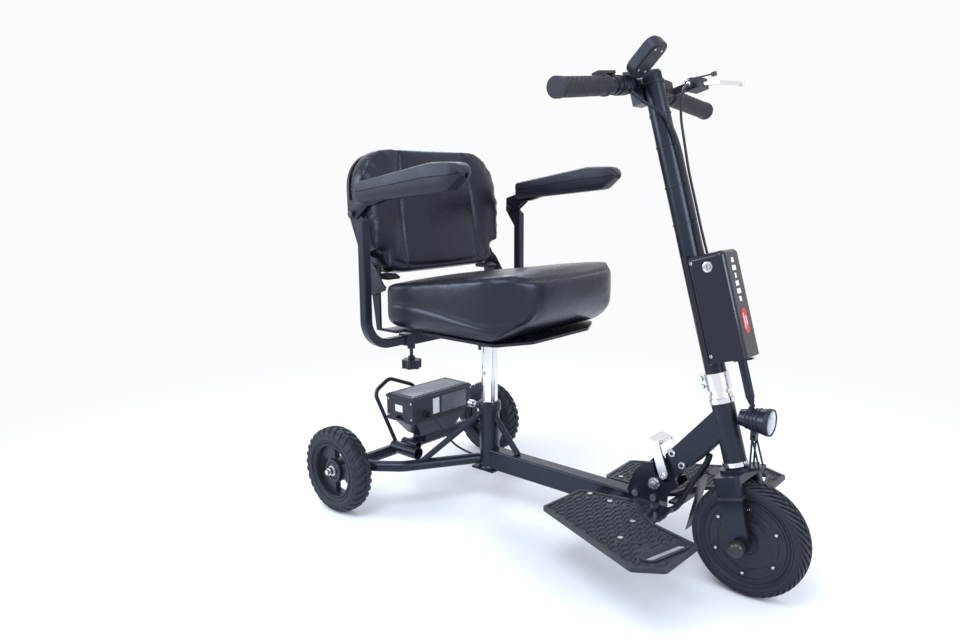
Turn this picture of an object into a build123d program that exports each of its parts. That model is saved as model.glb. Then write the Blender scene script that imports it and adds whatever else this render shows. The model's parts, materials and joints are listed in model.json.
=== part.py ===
from build123d import *
from math import cos, radians, sin, tan
import os

# Three-wheeled folding mobility scooter.  +X is forward, +Y the rider's left, +Z up.
# The origin is on the floor, halfway along and halfway across the machine.  Millimetres.

# Wheels and wheelbase
WHEELBASE = 865.0
REAR_WHEEL_R = 100.0
FRONT_WHEEL_R = 107.8
TYRE_WIDTH = 50.0
REAR_TRACK = 534.0
REAR_X = -(WHEELBASE + FRONT_WHEEL_R - REAR_WHEEL_R) / 2
FRONT_X = REAR_X + WHEELBASE
RUNNING_CLEARANCE = 0.05

# Steering axis, which leans back from where it would meet the floor
RAKE = radians(15.8)
TRAIL_POINT = 899.8
HEAD_BOTTOM = 257.5
HEAD_TOP = 367.0
CLAMP_BOTTOM = 391.6
COLUMN_BOTTOM = 422.7
COLUMN_TOP = 963.0
COLUMN_R = 19.0
WHEEL_U = (FRONT_X - REAR_X - TRAIL_POINT) * cos(RAKE) + FRONT_WHEEL_R * sin(RAKE)
WHEEL_W = (TRAIL_POINT - FRONT_X + REAR_X) * sin(RAKE) + FRONT_WHEEL_R * cos(RAKE)

# Frame tubes
BEAM_WIDTH = 36.0
BEAM_TOP = 136.0
BEAM_HEIGHT = 47.0
BEAM_WALL = 2.5
BEAM_REAR = 242.0
BEAM_FRONT = 690.0
SEAT_X = 235.0
SEAT_TUBE_R = 23.0
SEAT_TUBE_TOP = 250.0
POST_R = 19.0
STAY_R = 12.5
AXLE_TUBE_R = 14.0
AXLE_TUBE_HALF = 236.0

# Folding joint at the front of the beam
PIVOT_X = 682.0
PIVOT_Z = 172.0
PIVOT_R = 5.0
PLATE_INNER = 18.1
PLATE_THICK = 6.0
DOWN_TUBE_ANGLE = 49.0
DOWN_TUBE_DEPTH = 49.0
DOWN_TUBE_HALF = 17.6
KNUCKLE_HALF = 14.4
KNUCKLE_BOLTS = ((714, 239), (735, 220))
KNUCKLE_BOLT_R = 4.5
LATCH_PIN_R = 4.0
LATCH_X = 702.0
LATCH_Z = 194.0

# Footrests, which rise gently towards the front
FOOT_REAR = 517.0
FOOT_Z = 124.0
FOOT_PITCH = 3.0
FOOT_THICK = 8.0
FOOT_RIM = 2.0

# Seat
CUSHION_BOTTOM = 434.2
CUSHION_FRONT = 486.0
ARM_Y = 262.0
ARM_POST_X = 112.0
ARM_BAR_Z = 404.0
ARM_TUBE = 20.0
ARM_PIVOT = (88.0, 689.0)
BACK_PIVOT = (70.0, 560.0)
BACK_LEAN = 9.0
KNOB_Y = 132.0
SWIVEL_Z = 384.0

# Handlebar
BAR_U = -31.5
BAR_W = 972.0
BAR_R = 11.0
BAR_HALF = 268.0
BAR_STRAIGHT = 34.0
BAR_DROOP = 6.5
GRIP_R = 17.0
GRIP_START = 114.0

# Controller case on the front of the column
CASE_BOTTOM = 443.0
CASE_LENGTH = 195.0
CASE_FRONT = 76.0
CASE_REAR = 3.0
CASE_HALF = 35.0

# Headlight
LAMP_X = 836.0
LAMP_Z = 332.0
LAMP_LENGTH = 56.0
LAMP_R = 24.5
LAMP_PIVOT = (862.0, 300.0)

# Battery
BATTERY_BOX = ((-12.0, 80.0), (-102.0, 102.0), (180.0, 245.0))

# Cables
BRAKE_CABLE_R = 2.5
HARNESS_R = 3.5
LOOM_R = 6.0
BEND_SHARE = 0.45

# Pins, screws, bearings and other small parts.
PIN_R = 4.0
AXLE_R = 6.0
REAR_RIM_R = 64.0
RIM_WALL = 5.0
WINDOWS = 3
WINDOW_ANGLE = 62
PLUG_Y = -58.0
PLUG_Z = 198.0
SOCKET_Y = -94.0
SOCKET_BORE = 12.7
PLATE_BOLTS = (641.0, 681.0)
PLATE_BOLT_Z = BEAM_TOP + 6
PLATE_BOLT_R = 4.0
FOOT_SCREWS = ((94, 71), (198, 204), (40, 60), (180, 130))
FOOT_HOLES = ((40, 110), (133, 68), (238, 204))
BASE = (Align.CENTER, Align.CENTER, Align.MIN)
STEERER_R = 14.3
LATCH_INNER = PLATE_INNER + PLATE_THICK + 0.5
LATCH_OUTER = LATCH_INNER + 4.5
CAP_R = 20.5
FRONT_AXLE_R = 6.0
LEVER_Y = 134.0
LEVER_PIN_R = 3.0
BELL_PIN_R = 2.5
KEY_R = 6.0
NOSE_TOP = 246.0
HUB_R = 79.0
HUB_SCREWS = 6
SPIGOT_R = 10.0
BUTTON_Z = 318.0
BUTTON_R = 4.0
LEVER_PIN_Y = 10.0
SCREW_R = 4.05
BACK_PIN_R = 5.0
ARM_PIN_R = 5.0


def station(distance):
    """X of a point that is this far ahead of the rear axle."""
    return REAR_X + distance


STEER = Plane(
    origin=(station(TRAIL_POINT), 0, 0),
    x_dir=(cos(RAKE), 0, sin(RAKE)),
    z_dir=(-sin(RAKE), 0, cos(RAKE)),
).location
FOOT = Plane(
    origin=(station(FOOT_REAR), 0, FOOT_Z),
    x_dir=(cos(radians(FOOT_PITCH)), 0, sin(radians(FOOT_PITCH))),
    z_dir=(-sin(radians(FOOT_PITCH)), 0, cos(radians(FOOT_PITCH))),
).location


def block(x_range, y_range, z_range):
    """A box between two corners."""
    size = [high - low for low, high in (x_range, y_range, z_range)]
    centre = [(high + low) / 2 for low, high in (x_range, y_range, z_range)]
    return Pos(*centre) * Box(*size)


def rod(start, end, radius, bore=0):
    """A round bar or tube between two points."""
    direction = Vector(*end) - Vector(*start)
    plane = Plane(origin=start, z_dir=direction)
    section = Circle(radius) - Circle(bore) if bore else Circle(radius)
    return extrude(plane * section, direction.length)


def side_plate(points, y_low, y_high, corner=0):
    """A plate in the XZ plane, from its outline."""
    outline = make_face(Polyline(*points, close=True))
    if corner:
        outline = fillet(outline.vertices(), corner)
    return Pos(0, y_high, 0) * extrude(Plane.XZ * outline, y_high - y_low)


def flat_plate(points, z_low, z_high, corner=0):
    """A plate in the XY plane, from its outline."""
    outline = make_face(Polyline(*points, close=True))
    if corner:
        outline = fillet(outline.vertices(), corner)
    return Pos(0, 0, z_low) * extrude(outline, z_high - z_low)


def swept(points, radii, section):
    """A section carried along straight runs joined by arcs."""
    path = FilletPolyline(*points, radius=radii)
    start = Plane(origin=path @ 0, z_dir=path % 0)
    return sweep(start * section, path=path)


def other_side(shape):
    """The same piece on the other side of the machine."""
    return mirror(shape, about=Plane.XZ)


def pair(shape):
    """A piece and its mirror image, as two separate solids."""
    return Compound(children=[shape, other_side(shape)])


def group(*shapes):
    """Separate solids in one node."""
    return Compound(children=list(shapes))


def cable(points, radius):
    """A cable through its route points, with the largest bends that its runs allow."""
    corners = []
    for before, here, after in zip(points, points[1:], points[2:]):
        run_in = Vector(*here) - Vector(*before)
        run_out = Vector(*after) - Vector(*here)
        turn = radians(run_in.get_angle(run_out))
        corners.append(BEND_SHARE * min(run_in.length, run_out.length) / tan(turn / 2))
    print("cable bends", [round(corner, 1) for corner in corners])
    return swept(points, corners, Circle(radius))


def cap_screw(start, end, radius, head=1.7, head_length=0.9):
    """A screw with a round head at its start."""
    direction = (Vector(*end) - Vector(*start)).normalized()
    head_end = Vector(*start) + direction * radius * head_length
    shank = rod(tuple(head_end), end, radius)
    return rod(start, tuple(head_end), radius * head) + shank


# --- chassis ---------------------------------------------------------------


def main_beam():
    """Hollow beam with the block that carries the folding joint welded on top."""
    x_range = (station(BEAM_REAR), station(BEAM_FRONT))
    half = BEAM_WIDTH / 2
    beam = block(x_range, (-half, half), (BEAM_TOP - BEAM_HEIGHT, BEAM_TOP))
    beam = fillet(beam.edges().filter_by(Axis.X), 4)
    hollow = block(
        x_range,
        (BEAM_WALL - half, half - BEAM_WALL),
        (BEAM_TOP - BEAM_HEIGHT + BEAM_WALL, BEAM_TOP - BEAM_WALL),
    )
    beam -= hollow
    beam += block(
        (station(BEAM_FRONT - 3), station(BEAM_FRONT)),
        (BEAM_WALL - half - 1, half - BEAM_WALL + 1),
        (BEAM_TOP - BEAM_HEIGHT + 1, BEAM_TOP - 1),
    )
    joint_block = block(
        (station(628), station(BEAM_FRONT)),
        (-PLATE_INNER + 0.1, PLATE_INNER - 0.1),
        (BEAM_TOP - 1, BEAM_TOP + 13),
    )
    beam += joint_block
    for x in PLATE_BOLTS:
        beam -= rod((station(x), -30, PLATE_BOLT_Z), (station(x), 30, PLATE_BOLT_Z), PLATE_BOLT_R)
    return beam - seat_tube_bore(SEAT_TUBE_R)


def seat_tube_bore(radius):
    """The round space that the seat tube takes up."""
    return rod((station(SEAT_X), 0, 60), (station(SEAT_X), 0, SEAT_TUBE_TOP), radius)


def seat_tube():
    """Upright tube that holds the seat post, on a foot plate."""
    x = station(SEAT_X)
    tube = rod((x, 0, 84), (x, 0, SEAT_TUBE_TOP), SEAT_TUBE_R)
    foot = block((x - 34, x + 30), (-26, 26), (84, 88.5))
    bore = rod((x, 0, 92), (x, 0, SEAT_TUBE_TOP), POST_R + RUNNING_CLEARANCE)
    slot = block((x - SEAT_TUBE_R - 1, x - POST_R + 4), (-2, 2), (SEAT_TUBE_TOP - 34, SEAT_TUBE_TOP))
    pin_boss = rod((x - 38, 0, 232), (x - 10, 0, 232), 8)
    pin_bore = rod((x - 40, 0, 232), (x, 0, 232), PIN_R + RUNNING_CLEARANCE)
    return tube + foot + pin_boss - bore - slot - pin_bore


def seat_lock_pin():
    """Sprung pin that locks the seat post, with a pull ring at its end."""
    x = station(SEAT_X)
    pin = rod((x - 52, 0, 232), (x - POST_R - 0.6, 0, 232), PIN_R)
    knob = rod((x - 62, 0, 232), (x - 50, 0, 232), 9)
    return pin + knob


def stay(side):
    """Bent tube from the seat tube out to the axle tube."""
    points = [
        (station(214), side * 14, 107),
        (station(118), side * 172, 107),
        (station(60), side * 217, 107),
        (station(10), side * 217, 104),
    ]
    tube = swept(points, [60, 45], Circle(STAY_R))
    return tube - axle_tube_shape() - seat_tube_bore(SEAT_TUBE_R) - beam_space()


def beam_space():
    """The outer shape of the beam's rear half."""
    half = BEAM_WIDTH / 2
    return block(
        (station(SEAT_X), station(BEAM_REAR + 200)),
        (-half, half),
        (BEAM_TOP - BEAM_HEIGHT, BEAM_TOP),
    )


def axle_tube_shape():
    """The axle tube as a plain bar."""
    return rod(
        (station(0), -AXLE_TUBE_HALF, REAR_WHEEL_R),
        (station(0), AXLE_TUBE_HALF, REAR_WHEEL_R),
        AXLE_TUBE_R,
    )


def rear_frame():
    """Axle tube, two stays and the braces of the seat tube."""
    axle_bore = rod(
        (station(0), -AXLE_TUBE_HALF, REAR_WHEEL_R),
        (station(0), AXLE_TUBE_HALF, REAR_WHEEL_R),
        AXLE_R + RUNNING_CLEARANCE,
    )
    front_brace = rod((station(SEAT_X), 0, 232), (station(322), 0, BEAM_TOP), 7)
    front_brace -= seat_tube_bore(SEAT_TUBE_R)
    front_brace -= beam_space()
    rear_brace = rod((station(SEAT_X - 10), 8, 226), (station(138), 132, 112), 7)
    rear_brace -= seat_tube_bore(SEAT_TUBE_R)
    rear_brace -= stay(1)
    return group(
        axle_tube_shape() - axle_bore,
        stay(1),
        stay(-1),
        front_brace,
        rear_brace,
        other_side(rear_brace),
    )


def rear_axle(side):
    """Axle bolt with its spacer, washer and nut."""
    y_mid = side * REAR_TRACK / 2
    bolt = rod((station(0), side * 150, REAR_WHEEL_R), (station(0), side * 301, REAR_WHEEL_R), AXLE_R)
    spacer = rod((station(0), side * (AXLE_TUBE_HALF + 0.2), REAR_WHEEL_R),
                 (station(0), y_mid - side * 16, REAR_WHEEL_R), 9)
    washer = rod((station(0), y_mid + side * 16.0, REAR_WHEEL_R),
                 (station(0), y_mid + side * 18.5, REAR_WHEEL_R), 12)
    hexagon = Plane(origin=(station(0), y_mid + side * 18.5, REAR_WHEEL_R), z_dir=(0, side, 0))
    nut = extrude(hexagon * RegularPolygon(9.5, 6), 9)
    return bolt + spacer + washer + nut


def wheel_ring(profile, x, radius_z):
    """A ring turned about a wheel's axle from its half section of (radius, y) points."""
    section = make_face(Polyline(*[(x + r, y, radius_z) for r, y in profile], close=True))
    return revolve(section, Axis((x, 0, radius_z), (0, 1, 0)), 360)


def tyre(x, radius, bead_r, half):
    """A tyre with a rounded tread."""
    crown = half * 0.62
    shoulder = radius - 7
    points = [
        (bead_r, -half + 7),
        (bead_r + 9, -half + 1.5),
        (shoulder - 8, -half),
        (shoulder, -half + 2.5),
        (radius - 2, -crown),
        (radius, -crown * 0.45),
        (radius, crown * 0.45),
        (radius - 2, crown),
        (shoulder, half - 2.5),
        (shoulder - 8, half),
        (bead_r + 9, half - 1.5),
        (bead_r, half - 7),
    ]
    return wheel_ring(points, x, radius)


def rear_tyre(side):
    """Solid rear tyre."""
    return Pos(0, side * REAR_TRACK / 2, 0) * tyre(station(0), REAR_WHEEL_R, REAR_RIM_R, TYRE_WIDTH / 2)


def rear_rim(side):
    """Wheel centre with three open windows between its hub and its rim."""
    x = station(0)
    z = REAR_WHEEL_R
    axle_line = Plane(origin=(x, 0, z), z_dir=(0, 1, 0))
    rim = rod((x, -19, z), (x, 19, z), REAR_RIM_R) - rod((x, -20, z), (x, 20, z), REAR_RIM_R - RIM_WALL)
    rim += rod((x, -8, z), (x, 6, z), REAR_RIM_R - RIM_WALL + 1)
    ring = Circle(REAR_RIM_R - RIM_WALL - 3) - Circle(29)
    reach = 2 * REAR_RIM_R
    half_angle = radians(WINDOW_ANGLE / 2)
    wedge = make_face(Polyline(
        (0, 0), (reach * cos(half_angle), reach * sin(half_angle)),
        (reach * cos(half_angle), -reach * sin(half_angle)), close=True))
    window = fillet((ring & wedge).vertices(), 5)
    for index in range(WINDOWS):
        rim -= extrude(axle_line * Rot(0, 0, index * 360 / WINDOWS + 30) * window, 20, both=True)
    rim += rod((x, -15.5, z), (x, 15.5, z), 19)
    rim -= rod((x, -30, z), (x, 30, z), AXLE_R + RUNNING_CLEARANCE)
    return Pos(0, side * REAR_TRACK / 2, 0) * rim


def battery_pack():
    """Battery case with rounded long edges, a hand recess and a plug socket on its front face."""
    (x0, x1), (y0, y1), (z0, z1) = BATTERY_BOX
    case = block((station(x0), station(x1)), (y0, y1), (z0, z1))
    case = fillet(case.edges().filter_by(Axis.Y), 4)
    case -= rod((station(34), y0 - 1, z0), (station(34), y0 + 9, z0), 17)
    socket = rod((station(x1 - 4), PLUG_Y, PLUG_Z), (station(x1 + 4), PLUG_Y, PLUG_Z), 9)
    return case + socket


def battery_tray():
    """Tapered cradle under the battery, on a bracket to the axle tube."""
    (x0, x1), (y0, y1), (z0, _) = BATTERY_BOX
    lower = Plane(origin=(station(32), 8, 136)) * Rectangle(48, 120)
    upper = Plane(origin=(station((x0 + x1) / 2), 0, z0 - 0.4)) * Rectangle(x1 - x0 - 4, y1 - y0 - 30)
    cradle = loft([lower.face(), upper.face()])
    bracket = block((station(-6), station(40)), (-22, 34), (108, 137))
    return (cradle + bracket) - axle_tube_shape()


def rear_hoop():
    """Bent round bar behind the battery, and the two open sockets beside its foot."""
    points = [
        (station(4), -88, 114),
        (station(-36), -121, 246),
        (station(-36), -72, 272),
        (station(-36), 12, 238),
        (station(-36), 34, 170),
        (station(-14), 38, 112),
    ]
    bar = swept(points, [22, 26, 30, 40], Circle(5))
    socket = rod((station(AXLE_TUBE_R + 0.5), SOCKET_Y, 109), (station(88), SOCKET_Y, 109), 15)
    socket += rod((station(0), SOCKET_Y, 109), (station(20), SOCKET_Y, 109), 15)
    socket -= rod((station(16), SOCKET_Y, 109), (station(90), SOCKET_Y, 109), SOCKET_BORE)
    second = rod((station(4), -63, 114), (station(56), -63, 114), 11)
    second -= rod((station(18), -63, 114), (station(60), -63, 114), 8.5)
    return group(
        bar - axle_tube_shape() - socket,
        socket - axle_tube_shape(),
        second - axle_tube_shape() - socket,
    )


def hinge_plate():
    """Fixed cheek plate of the folding joint."""
    outline = [(622, 144), (627, 134), (684, 133), (731, 178), (725, 188), (704, 178),
               (682, 190), (676, 214), (657, 208), (636, 184)]
    points = [(station(x), z) for x, z in outline]
    plate = side_plate(points, PLATE_INNER, PLATE_INNER + PLATE_THICK, corner=2.5)
    plate -= rod((station(PIVOT_X), 0, PIVOT_Z), (station(PIVOT_X), 60, PIVOT_Z), PIVOT_R)
    for x in PLATE_BOLTS:
        plate -= rod((station(x), 0, PLATE_BOLT_Z), (station(x), 60, PLATE_BOLT_Z), PLATE_BOLT_R)
    return plate


def hinge_plates():
    """The pair of cheek plates."""
    return pair(hinge_plate())


def hinge_pivot_bolt():
    """Pivot bolt with a washer and nut at each end."""
    x, z = station(PIVOT_X), PIVOT_Z
    reach = PLATE_INNER + PLATE_THICK
    bolt = rod((x, -reach - 16, z), (x, reach + 10, z), PIVOT_R)
    for side in (-1, 1):
        bolt += rod((x, side * reach, z), (x, side * (reach + 2.5), z), 12)
        end = Plane(origin=(x, side * (reach + 2.5), z), z_dir=(0, side, 0))
        bolt += extrude(end * RegularPolygon(10, 6), 7)
    return bolt


def frame_screws():
    """Bolts of the cheek plates and of the footrests."""
    screws = []
    reach = PLATE_INNER + PLATE_THICK
    for side in (-1, 1):
        for x in PLATE_BOLTS:
            head_at = (station(x), side * (reach + 0.9 * PLATE_BOLT_R), PLATE_BOLT_Z)
            screws.append(cap_screw(head_at, (station(x), side * 12, PLATE_BOLT_Z), PLATE_BOLT_R))
        for x, y in FOOT_SCREWS:
            screw = cap_screw((x, side * y, 1.6), (x, side * y, -FOOT_THICK - 4), 3.0)
            screws.append(FOOT * screw)
    return group(*screws)


def footrest_outline():
    """Corner points of the left footrest, from its rear edge forward."""
    return [
        (0, 168),
        (8, 48),
        (160, 30),
        (176, 44),
        (186, 90),
        (216, 114),
        (320, 150),
        (318, 262),
        (268, 290),
    ]


def footrest(side):
    """Flat footrest with a raised rim, drain holes and a hand slot at its front."""
    plate = flat_plate(footrest_outline(), -FOOT_THICK, 0, corner=9)
    inner = offset(make_face(Polyline(*footrest_outline(), close=True)), -7)
    plate -= Pos(0, 0, -FOOT_RIM) * extrude(inner, FOOT_RIM + 1)
    slot = Pos(285, 202, 0) * SlotOverall(96, 20, rotation=105)
    slot_rim = Pos(285, 202, 0) * SlotOverall(108, 32, rotation=105)
    plate += Pos(0, 0, -FOOT_THICK) * extrude(slot_rim, FOOT_THICK)
    plate -= Pos(0, 0, -30) * extrude(slot, 60)
    for x, y in FOOT_HOLES:
        plate -= rod((x, y, -30), (x, y, 10), 4)
    for x, y in FOOT_SCREWS:
        plate -= rod((x, y, -30), (x, y, 10), 3.0)
        plate -= rod((x, y, -FOOT_RIM - 1.1), (x, y, 10), 5.2)
    plate = FOOT * plate
    return plate if side > 0 else other_side(plate)


def footrest_bracket():
    """Cross bars welded under the beam that carry both footrests."""
    bars = []
    for x, reach in ((40, 128), (94, 100), (189, 218)):
        bar = block((x - 13, x + 13), (BEAM_WIDTH / 2 - 3, reach), (-FOOT_THICK - 5, -FOOT_THICK))
        for screw_x, y in FOOT_SCREWS:
            bar -= rod((screw_x, y, -40), (screw_x, y, 10), 3.0)
        bars.append(FOOT * bar)
    half = BEAM_WIDTH / 2
    beam = block((station(BEAM_REAR), station(BEAM_FRONT)), (-half, half), (BEAM_TOP - BEAM_HEIGHT, BEAM_TOP))
    sided = [bar - beam for bar in bars]
    return group(*sided, *[other_side(bar) for bar in sided])


def power_lead():
    """Plug on the battery's front face and its cable down to the frame."""
    front = station(BATTERY_BOX[0][1])
    route = [
        (front + 18, PLUG_Y, PLUG_Z),
        (front + 33, -56, 189),
        (front + 44, -49, 170),
        (front + 54, -38, 146),
        (front + 69, -26, 126),
        (front + 91, -15, 114),
        (front + 115, -6, 107),
        (front + 131, -3, 104),
    ]
    plug = rod((front + 4.5, PLUG_Y, PLUG_Z), (front + 18, PLUG_Y, PLUG_Z), 6.5)
    return group(plug, cable(route, BRAKE_CABLE_R))


# --- folding front part ----------------------------------------------------


def head_tube():
    """Tube that the steerer turns in."""
    shell = Pos(0, 0, HEAD_BOTTOM) * Cylinder(21, HEAD_TOP - HEAD_BOTTOM, align=BASE)
    bore = Pos(0, 0, HEAD_BOTTOM - 1) * Cylinder(17.5, HEAD_TOP - HEAD_BOTTOM + 2, align=BASE)
    return STEER * (shell - bore)


def head_space():
    """The outer shape of the head tube."""
    return STEER * (Pos(0, 0, HEAD_BOTTOM) * Cylinder(21, HEAD_TOP - HEAD_BOTTOM, align=BASE))


def down_tube():
    """Deep box-section tube from the folding joint up to the head tube."""
    rise = radians(DOWN_TUBE_ANGLE)
    along = Vector(cos(rise), 0, sin(rise))
    start = Vector(station(697), 0, 231.5)
    frame = Plane(origin=start, x_dir=along, z_dir=(0, -1, 0))
    length = 172
    section = frame * Pos(length / 2, -DOWN_TUBE_DEPTH / 2) * Rectangle(length, DOWN_TUBE_DEPTH)
    tube = extrude(section, DOWN_TUBE_HALF, both=True)
    tube = fillet(tube.edges().filter_by(lambda edge: abs((edge % 0.5).dot(along)) > 0.99), 4)
    hollow = frame * Pos(length / 2, -DOWN_TUBE_DEPTH / 2) * Rectangle(length + 2, DOWN_TUBE_DEPTH - 6)
    tube -= extrude(hollow, KNUCKLE_HALF, both=True)
    for x, z in KNUCKLE_BOLTS:
        tube -= rod((station(x), -30, z), (station(x), 30, z), KNUCKLE_BOLT_R)
    behind_head = Pos(-150, 0, HEAD_BOTTOM) * Box(300, 80, HEAD_TOP - HEAD_BOTTOM + 200, align=BASE)
    return (tube & (STEER * behind_head)) - head_space()


def hinge_knuckle():
    """Moving half of the folding joint, plugged into the down tube and bolted through it."""
    outline = [(668, 158), (690, 152), (716, 178), (724, 198), (752, 226), (724, 256), (703, 232), (668, 186)]
    points = [(station(x), z) for x, z in outline]
    body = side_plate(points, -KNUCKLE_HALF, KNUCKLE_HALF, corner=5)
    body -= rod((station(PIVOT_X), -30, PIVOT_Z), (station(PIVOT_X), 30, PIVOT_Z), PIVOT_R + RUNNING_CLEARANCE)
    body -= rod((station(LATCH_X), -30, LATCH_Z), (station(LATCH_X), 30, LATCH_Z), LATCH_PIN_R)
    body -= down_tube()
    for x, z in KNUCKLE_BOLTS:
        body += rod((station(x), -DOWN_TUBE_HALF - 3, z), (station(x), DOWN_TUBE_HALF + 3, z), KNUCKLE_BOLT_R)
    return body


def headset():
    """Bearing cups pressed on both ends of the head tube."""
    upper = Pos(0, 0, HEAD_TOP) * Cylinder(23.5, 9, align=BASE)
    upper += Pos(0, 0, HEAD_TOP - 12) * Cylinder(17.5, 12, align=BASE)
    lower = Pos(0, 0, HEAD_BOTTOM - 8) * Cylinder(23.5, 8, align=BASE)
    lower += Pos(0, 0, HEAD_BOTTOM) * Cylinder(17.5, 12, align=BASE)
    bore = Pos(0, 0, HEAD_BOTTOM - 30) * Cylinder(STEERER_R + RUNNING_CLEARANCE, 300, align=BASE)
    return group(STEER * (upper - bore), STEER * (lower - bore))


def wiring_loom():
    """Sleeved cable bundle from the front of the beam up to the down tube."""
    route = [
        (station(692), 0, 110),
        (station(708), 0, 114),
        (station(724), 0, 132),
        (station(736), 0, 158),
        (station(750), 0, 186),
        (station(767), 0, 212),
        (station(779), 0, 236),
        (station(784), 0, 262),
    ]
    return cable(route, LOOM_R) - down_tube_outside()


def down_tube_outside():
    """The space above the down tube's underside."""
    rise = radians(DOWN_TUBE_ANGLE)
    along = Vector(cos(rise), 0, sin(rise))
    frame = Plane(origin=(station(697), 0, 231.5), x_dir=along, z_dir=(0, -1, 0))
    section = frame * Pos(100, -DOWN_TUBE_DEPTH / 2) * Rectangle(200, DOWN_TUBE_DEPTH)
    return extrude(section, DOWN_TUBE_HALF, both=True)


def latch_lever():
    """U-shaped release lever: two arms, a top bar and a pin through the knuckle."""
    outline = [(694, 189), (700, 185), (709, 190), (711, 199), (690, 256), (666, 262), (660, 253), (676, 240)]
    points = [(station(x), z) for x, z in outline]
    arm = side_plate(points, LATCH_INNER, LATCH_OUTER, corner=2)
    lever = arm + other_side(arm)
    bar = [(660, 253), (663, 248), (690, 251), (690, 256), (666, 262)]
    lever += side_plate([(station(x), z) for x, z in bar], -LATCH_OUTER, LATCH_OUTER)
    pin_r = LATCH_PIN_R - RUNNING_CLEARANCE
    return lever + rod((station(LATCH_X), -LATCH_OUTER, LATCH_Z), (station(LATCH_X), LATCH_OUTER, LATCH_Z), pin_r)


# --- steering --------------------------------------------------------------


def steering_column():
    """Long tube from the clamp up to the handlebar, with the handlebar's neck."""
    tube = Pos(0, 0, COLUMN_BOTTOM - 24) * Cylinder(COLUMN_R, COLUMN_TOP - COLUMN_BOTTOM + 24, align=BASE)
    tube -= Pos(0, 0, COLUMN_BOTTOM - 25) * Cylinder(COLUMN_R - 2.2, COLUMN_TOP - COLUMN_BOTTOM + 30, align=BASE)
    neck = block((BAR_U - 10, -COLUMN_R + 3), (-17, 17), (936, 960))
    neck = neck - Pos(0, 0, 930) * Cylinder(COLUMN_R - 1, 60, align=BASE)
    sleeve = rod((BAR_U, -26, BAR_W), (BAR_U, 26, BAR_W), 15.5)
    sleeve -= rod((BAR_U, -30, BAR_W), (BAR_U, 30, BAR_W), BAR_R)
    cap_space = Pos(0, 0, COLUMN_TOP) * Cylinder(CAP_R + 1, 60, align=BASE)
    return STEER * (tube + (neck + sleeve - cap_space - rod((BAR_U, -30, BAR_W), (BAR_U, 30, BAR_W), BAR_R)))


def column_cap():
    """Ribbed cap on top of the column."""
    flange = Pos(0, 0, COLUMN_TOP) * Cylinder(CAP_R, 6, align=BASE)
    grip = Pos(0, 0, COLUMN_TOP + 6) * Cylinder(17, 19.5, align=BASE)
    grip = fillet(grip.faces().sort_by(Axis.Z)[-1].edges(), 3)
    plug = Pos(0, 0, COLUMN_TOP - 14) * Cylinder(COLUMN_R - 2.3, 14, align=BASE)
    return STEER * (flange + grip + plug)


def column_clamp():
    """Split collar that clamps the column to the steerer, with its two bolts."""
    height = COLUMN_BOTTOM - CLAMP_BOTTOM
    collar = Pos(0, 0, CLAMP_BOTTOM) * Cylinder(22.5, height, align=BASE)
    ear = block((-36, -18), (-8, 8), (CLAMP_BOTTOM, COLUMN_BOTTOM))
    bore = Pos(0, 0, CLAMP_BOTTOM - 1) * Cylinder(COLUMN_R, height + 2, align=BASE)
    slit = block((-40, -16), (-1, 1), (CLAMP_BOTTOM - 1, COLUMN_BOTTOM + 1))
    collar = collar + ear - bore - slit
    for w in (CLAMP_BOTTOM + 8, COLUMN_BOTTOM - 8):
        collar += cap_screw((-29, -13, w), (-29, 11, w), 3.0)
    lock_ring = Pos(0, 0, HEAD_TOP + 9.3) * Cylinder(21.5, 7, align=BASE)
    lock_ring += Pos(0, 0, HEAD_TOP + 16) * Cylinder(19, CLAMP_BOTTOM - HEAD_TOP - 16 - 0.2, align=BASE)
    lock_ring -= Pos(0, 0, HEAD_TOP) * Cylinder(STEERER_R, 60, align=BASE)
    return group(STEER * collar, STEER * lock_ring, steerer_wedge())


def fork_leg():
    """Left fork leg: a box at the crown and a flat blade down to the axle."""
    box_part = block((-24, 22), (34, 53), (200, 236))
    box_part = fillet(box_part.edges().filter_by(Axis.Z), 5)
    blade = side_plate(
        [(-22, 204), (20, 204), (13, WHEEL_W - 4), (6, WHEEL_W - 16), (-14, WHEEL_W - 16), (-21, WHEEL_W - 4)],
        40, 48, corner=3,
    )
    drop = rod((WHEEL_U, 30, WHEEL_W), (WHEEL_U, 60, WHEEL_W), FRONT_AXLE_R + 0.02)
    return box_part + blade - drop


def fork():
    """Fork with its crown and steerer tube."""
    leg = fork_leg()
    bridge = block((-26, 24), (-53, 53), (226, 240))
    bridge = fillet(bridge.edges().filter_by(Axis.Z), 8)
    disc = Pos(0, 0, 238) * Cylinder(30.5, 8, align=BASE)
    nose = block((18, 50), (-13, 13), (240, NOSE_TOP))
    seat = Pos(0, 0, 246) * Cylinder(20, HEAD_BOTTOM - 8 - 0.4 - 246, align=BASE)
    steerer = Pos(0, 0, 240) * Cylinder(STEERER_R, COLUMN_BOTTOM - 240 + 30, align=BASE)
    whole = leg + other_side(leg) + bridge + disc + nose + seat + steerer
    whole -= Pos(0, 0, 220) * Cylinder(STEERER_R - 3, 260, align=BASE)
    return STEER * whole


def steerer_wedge():
    """Sleeve that fills the column down to the steerer."""
    sleeve = Pos(0, 0, CLAMP_BOTTOM + 8) * Cylinder(COLUMN_R - 2.2, 40, align=BASE)
    return STEER * (sleeve - Pos(0, 0, CLAMP_BOTTOM) * Cylinder(STEERER_R, 60, align=BASE))


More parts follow.
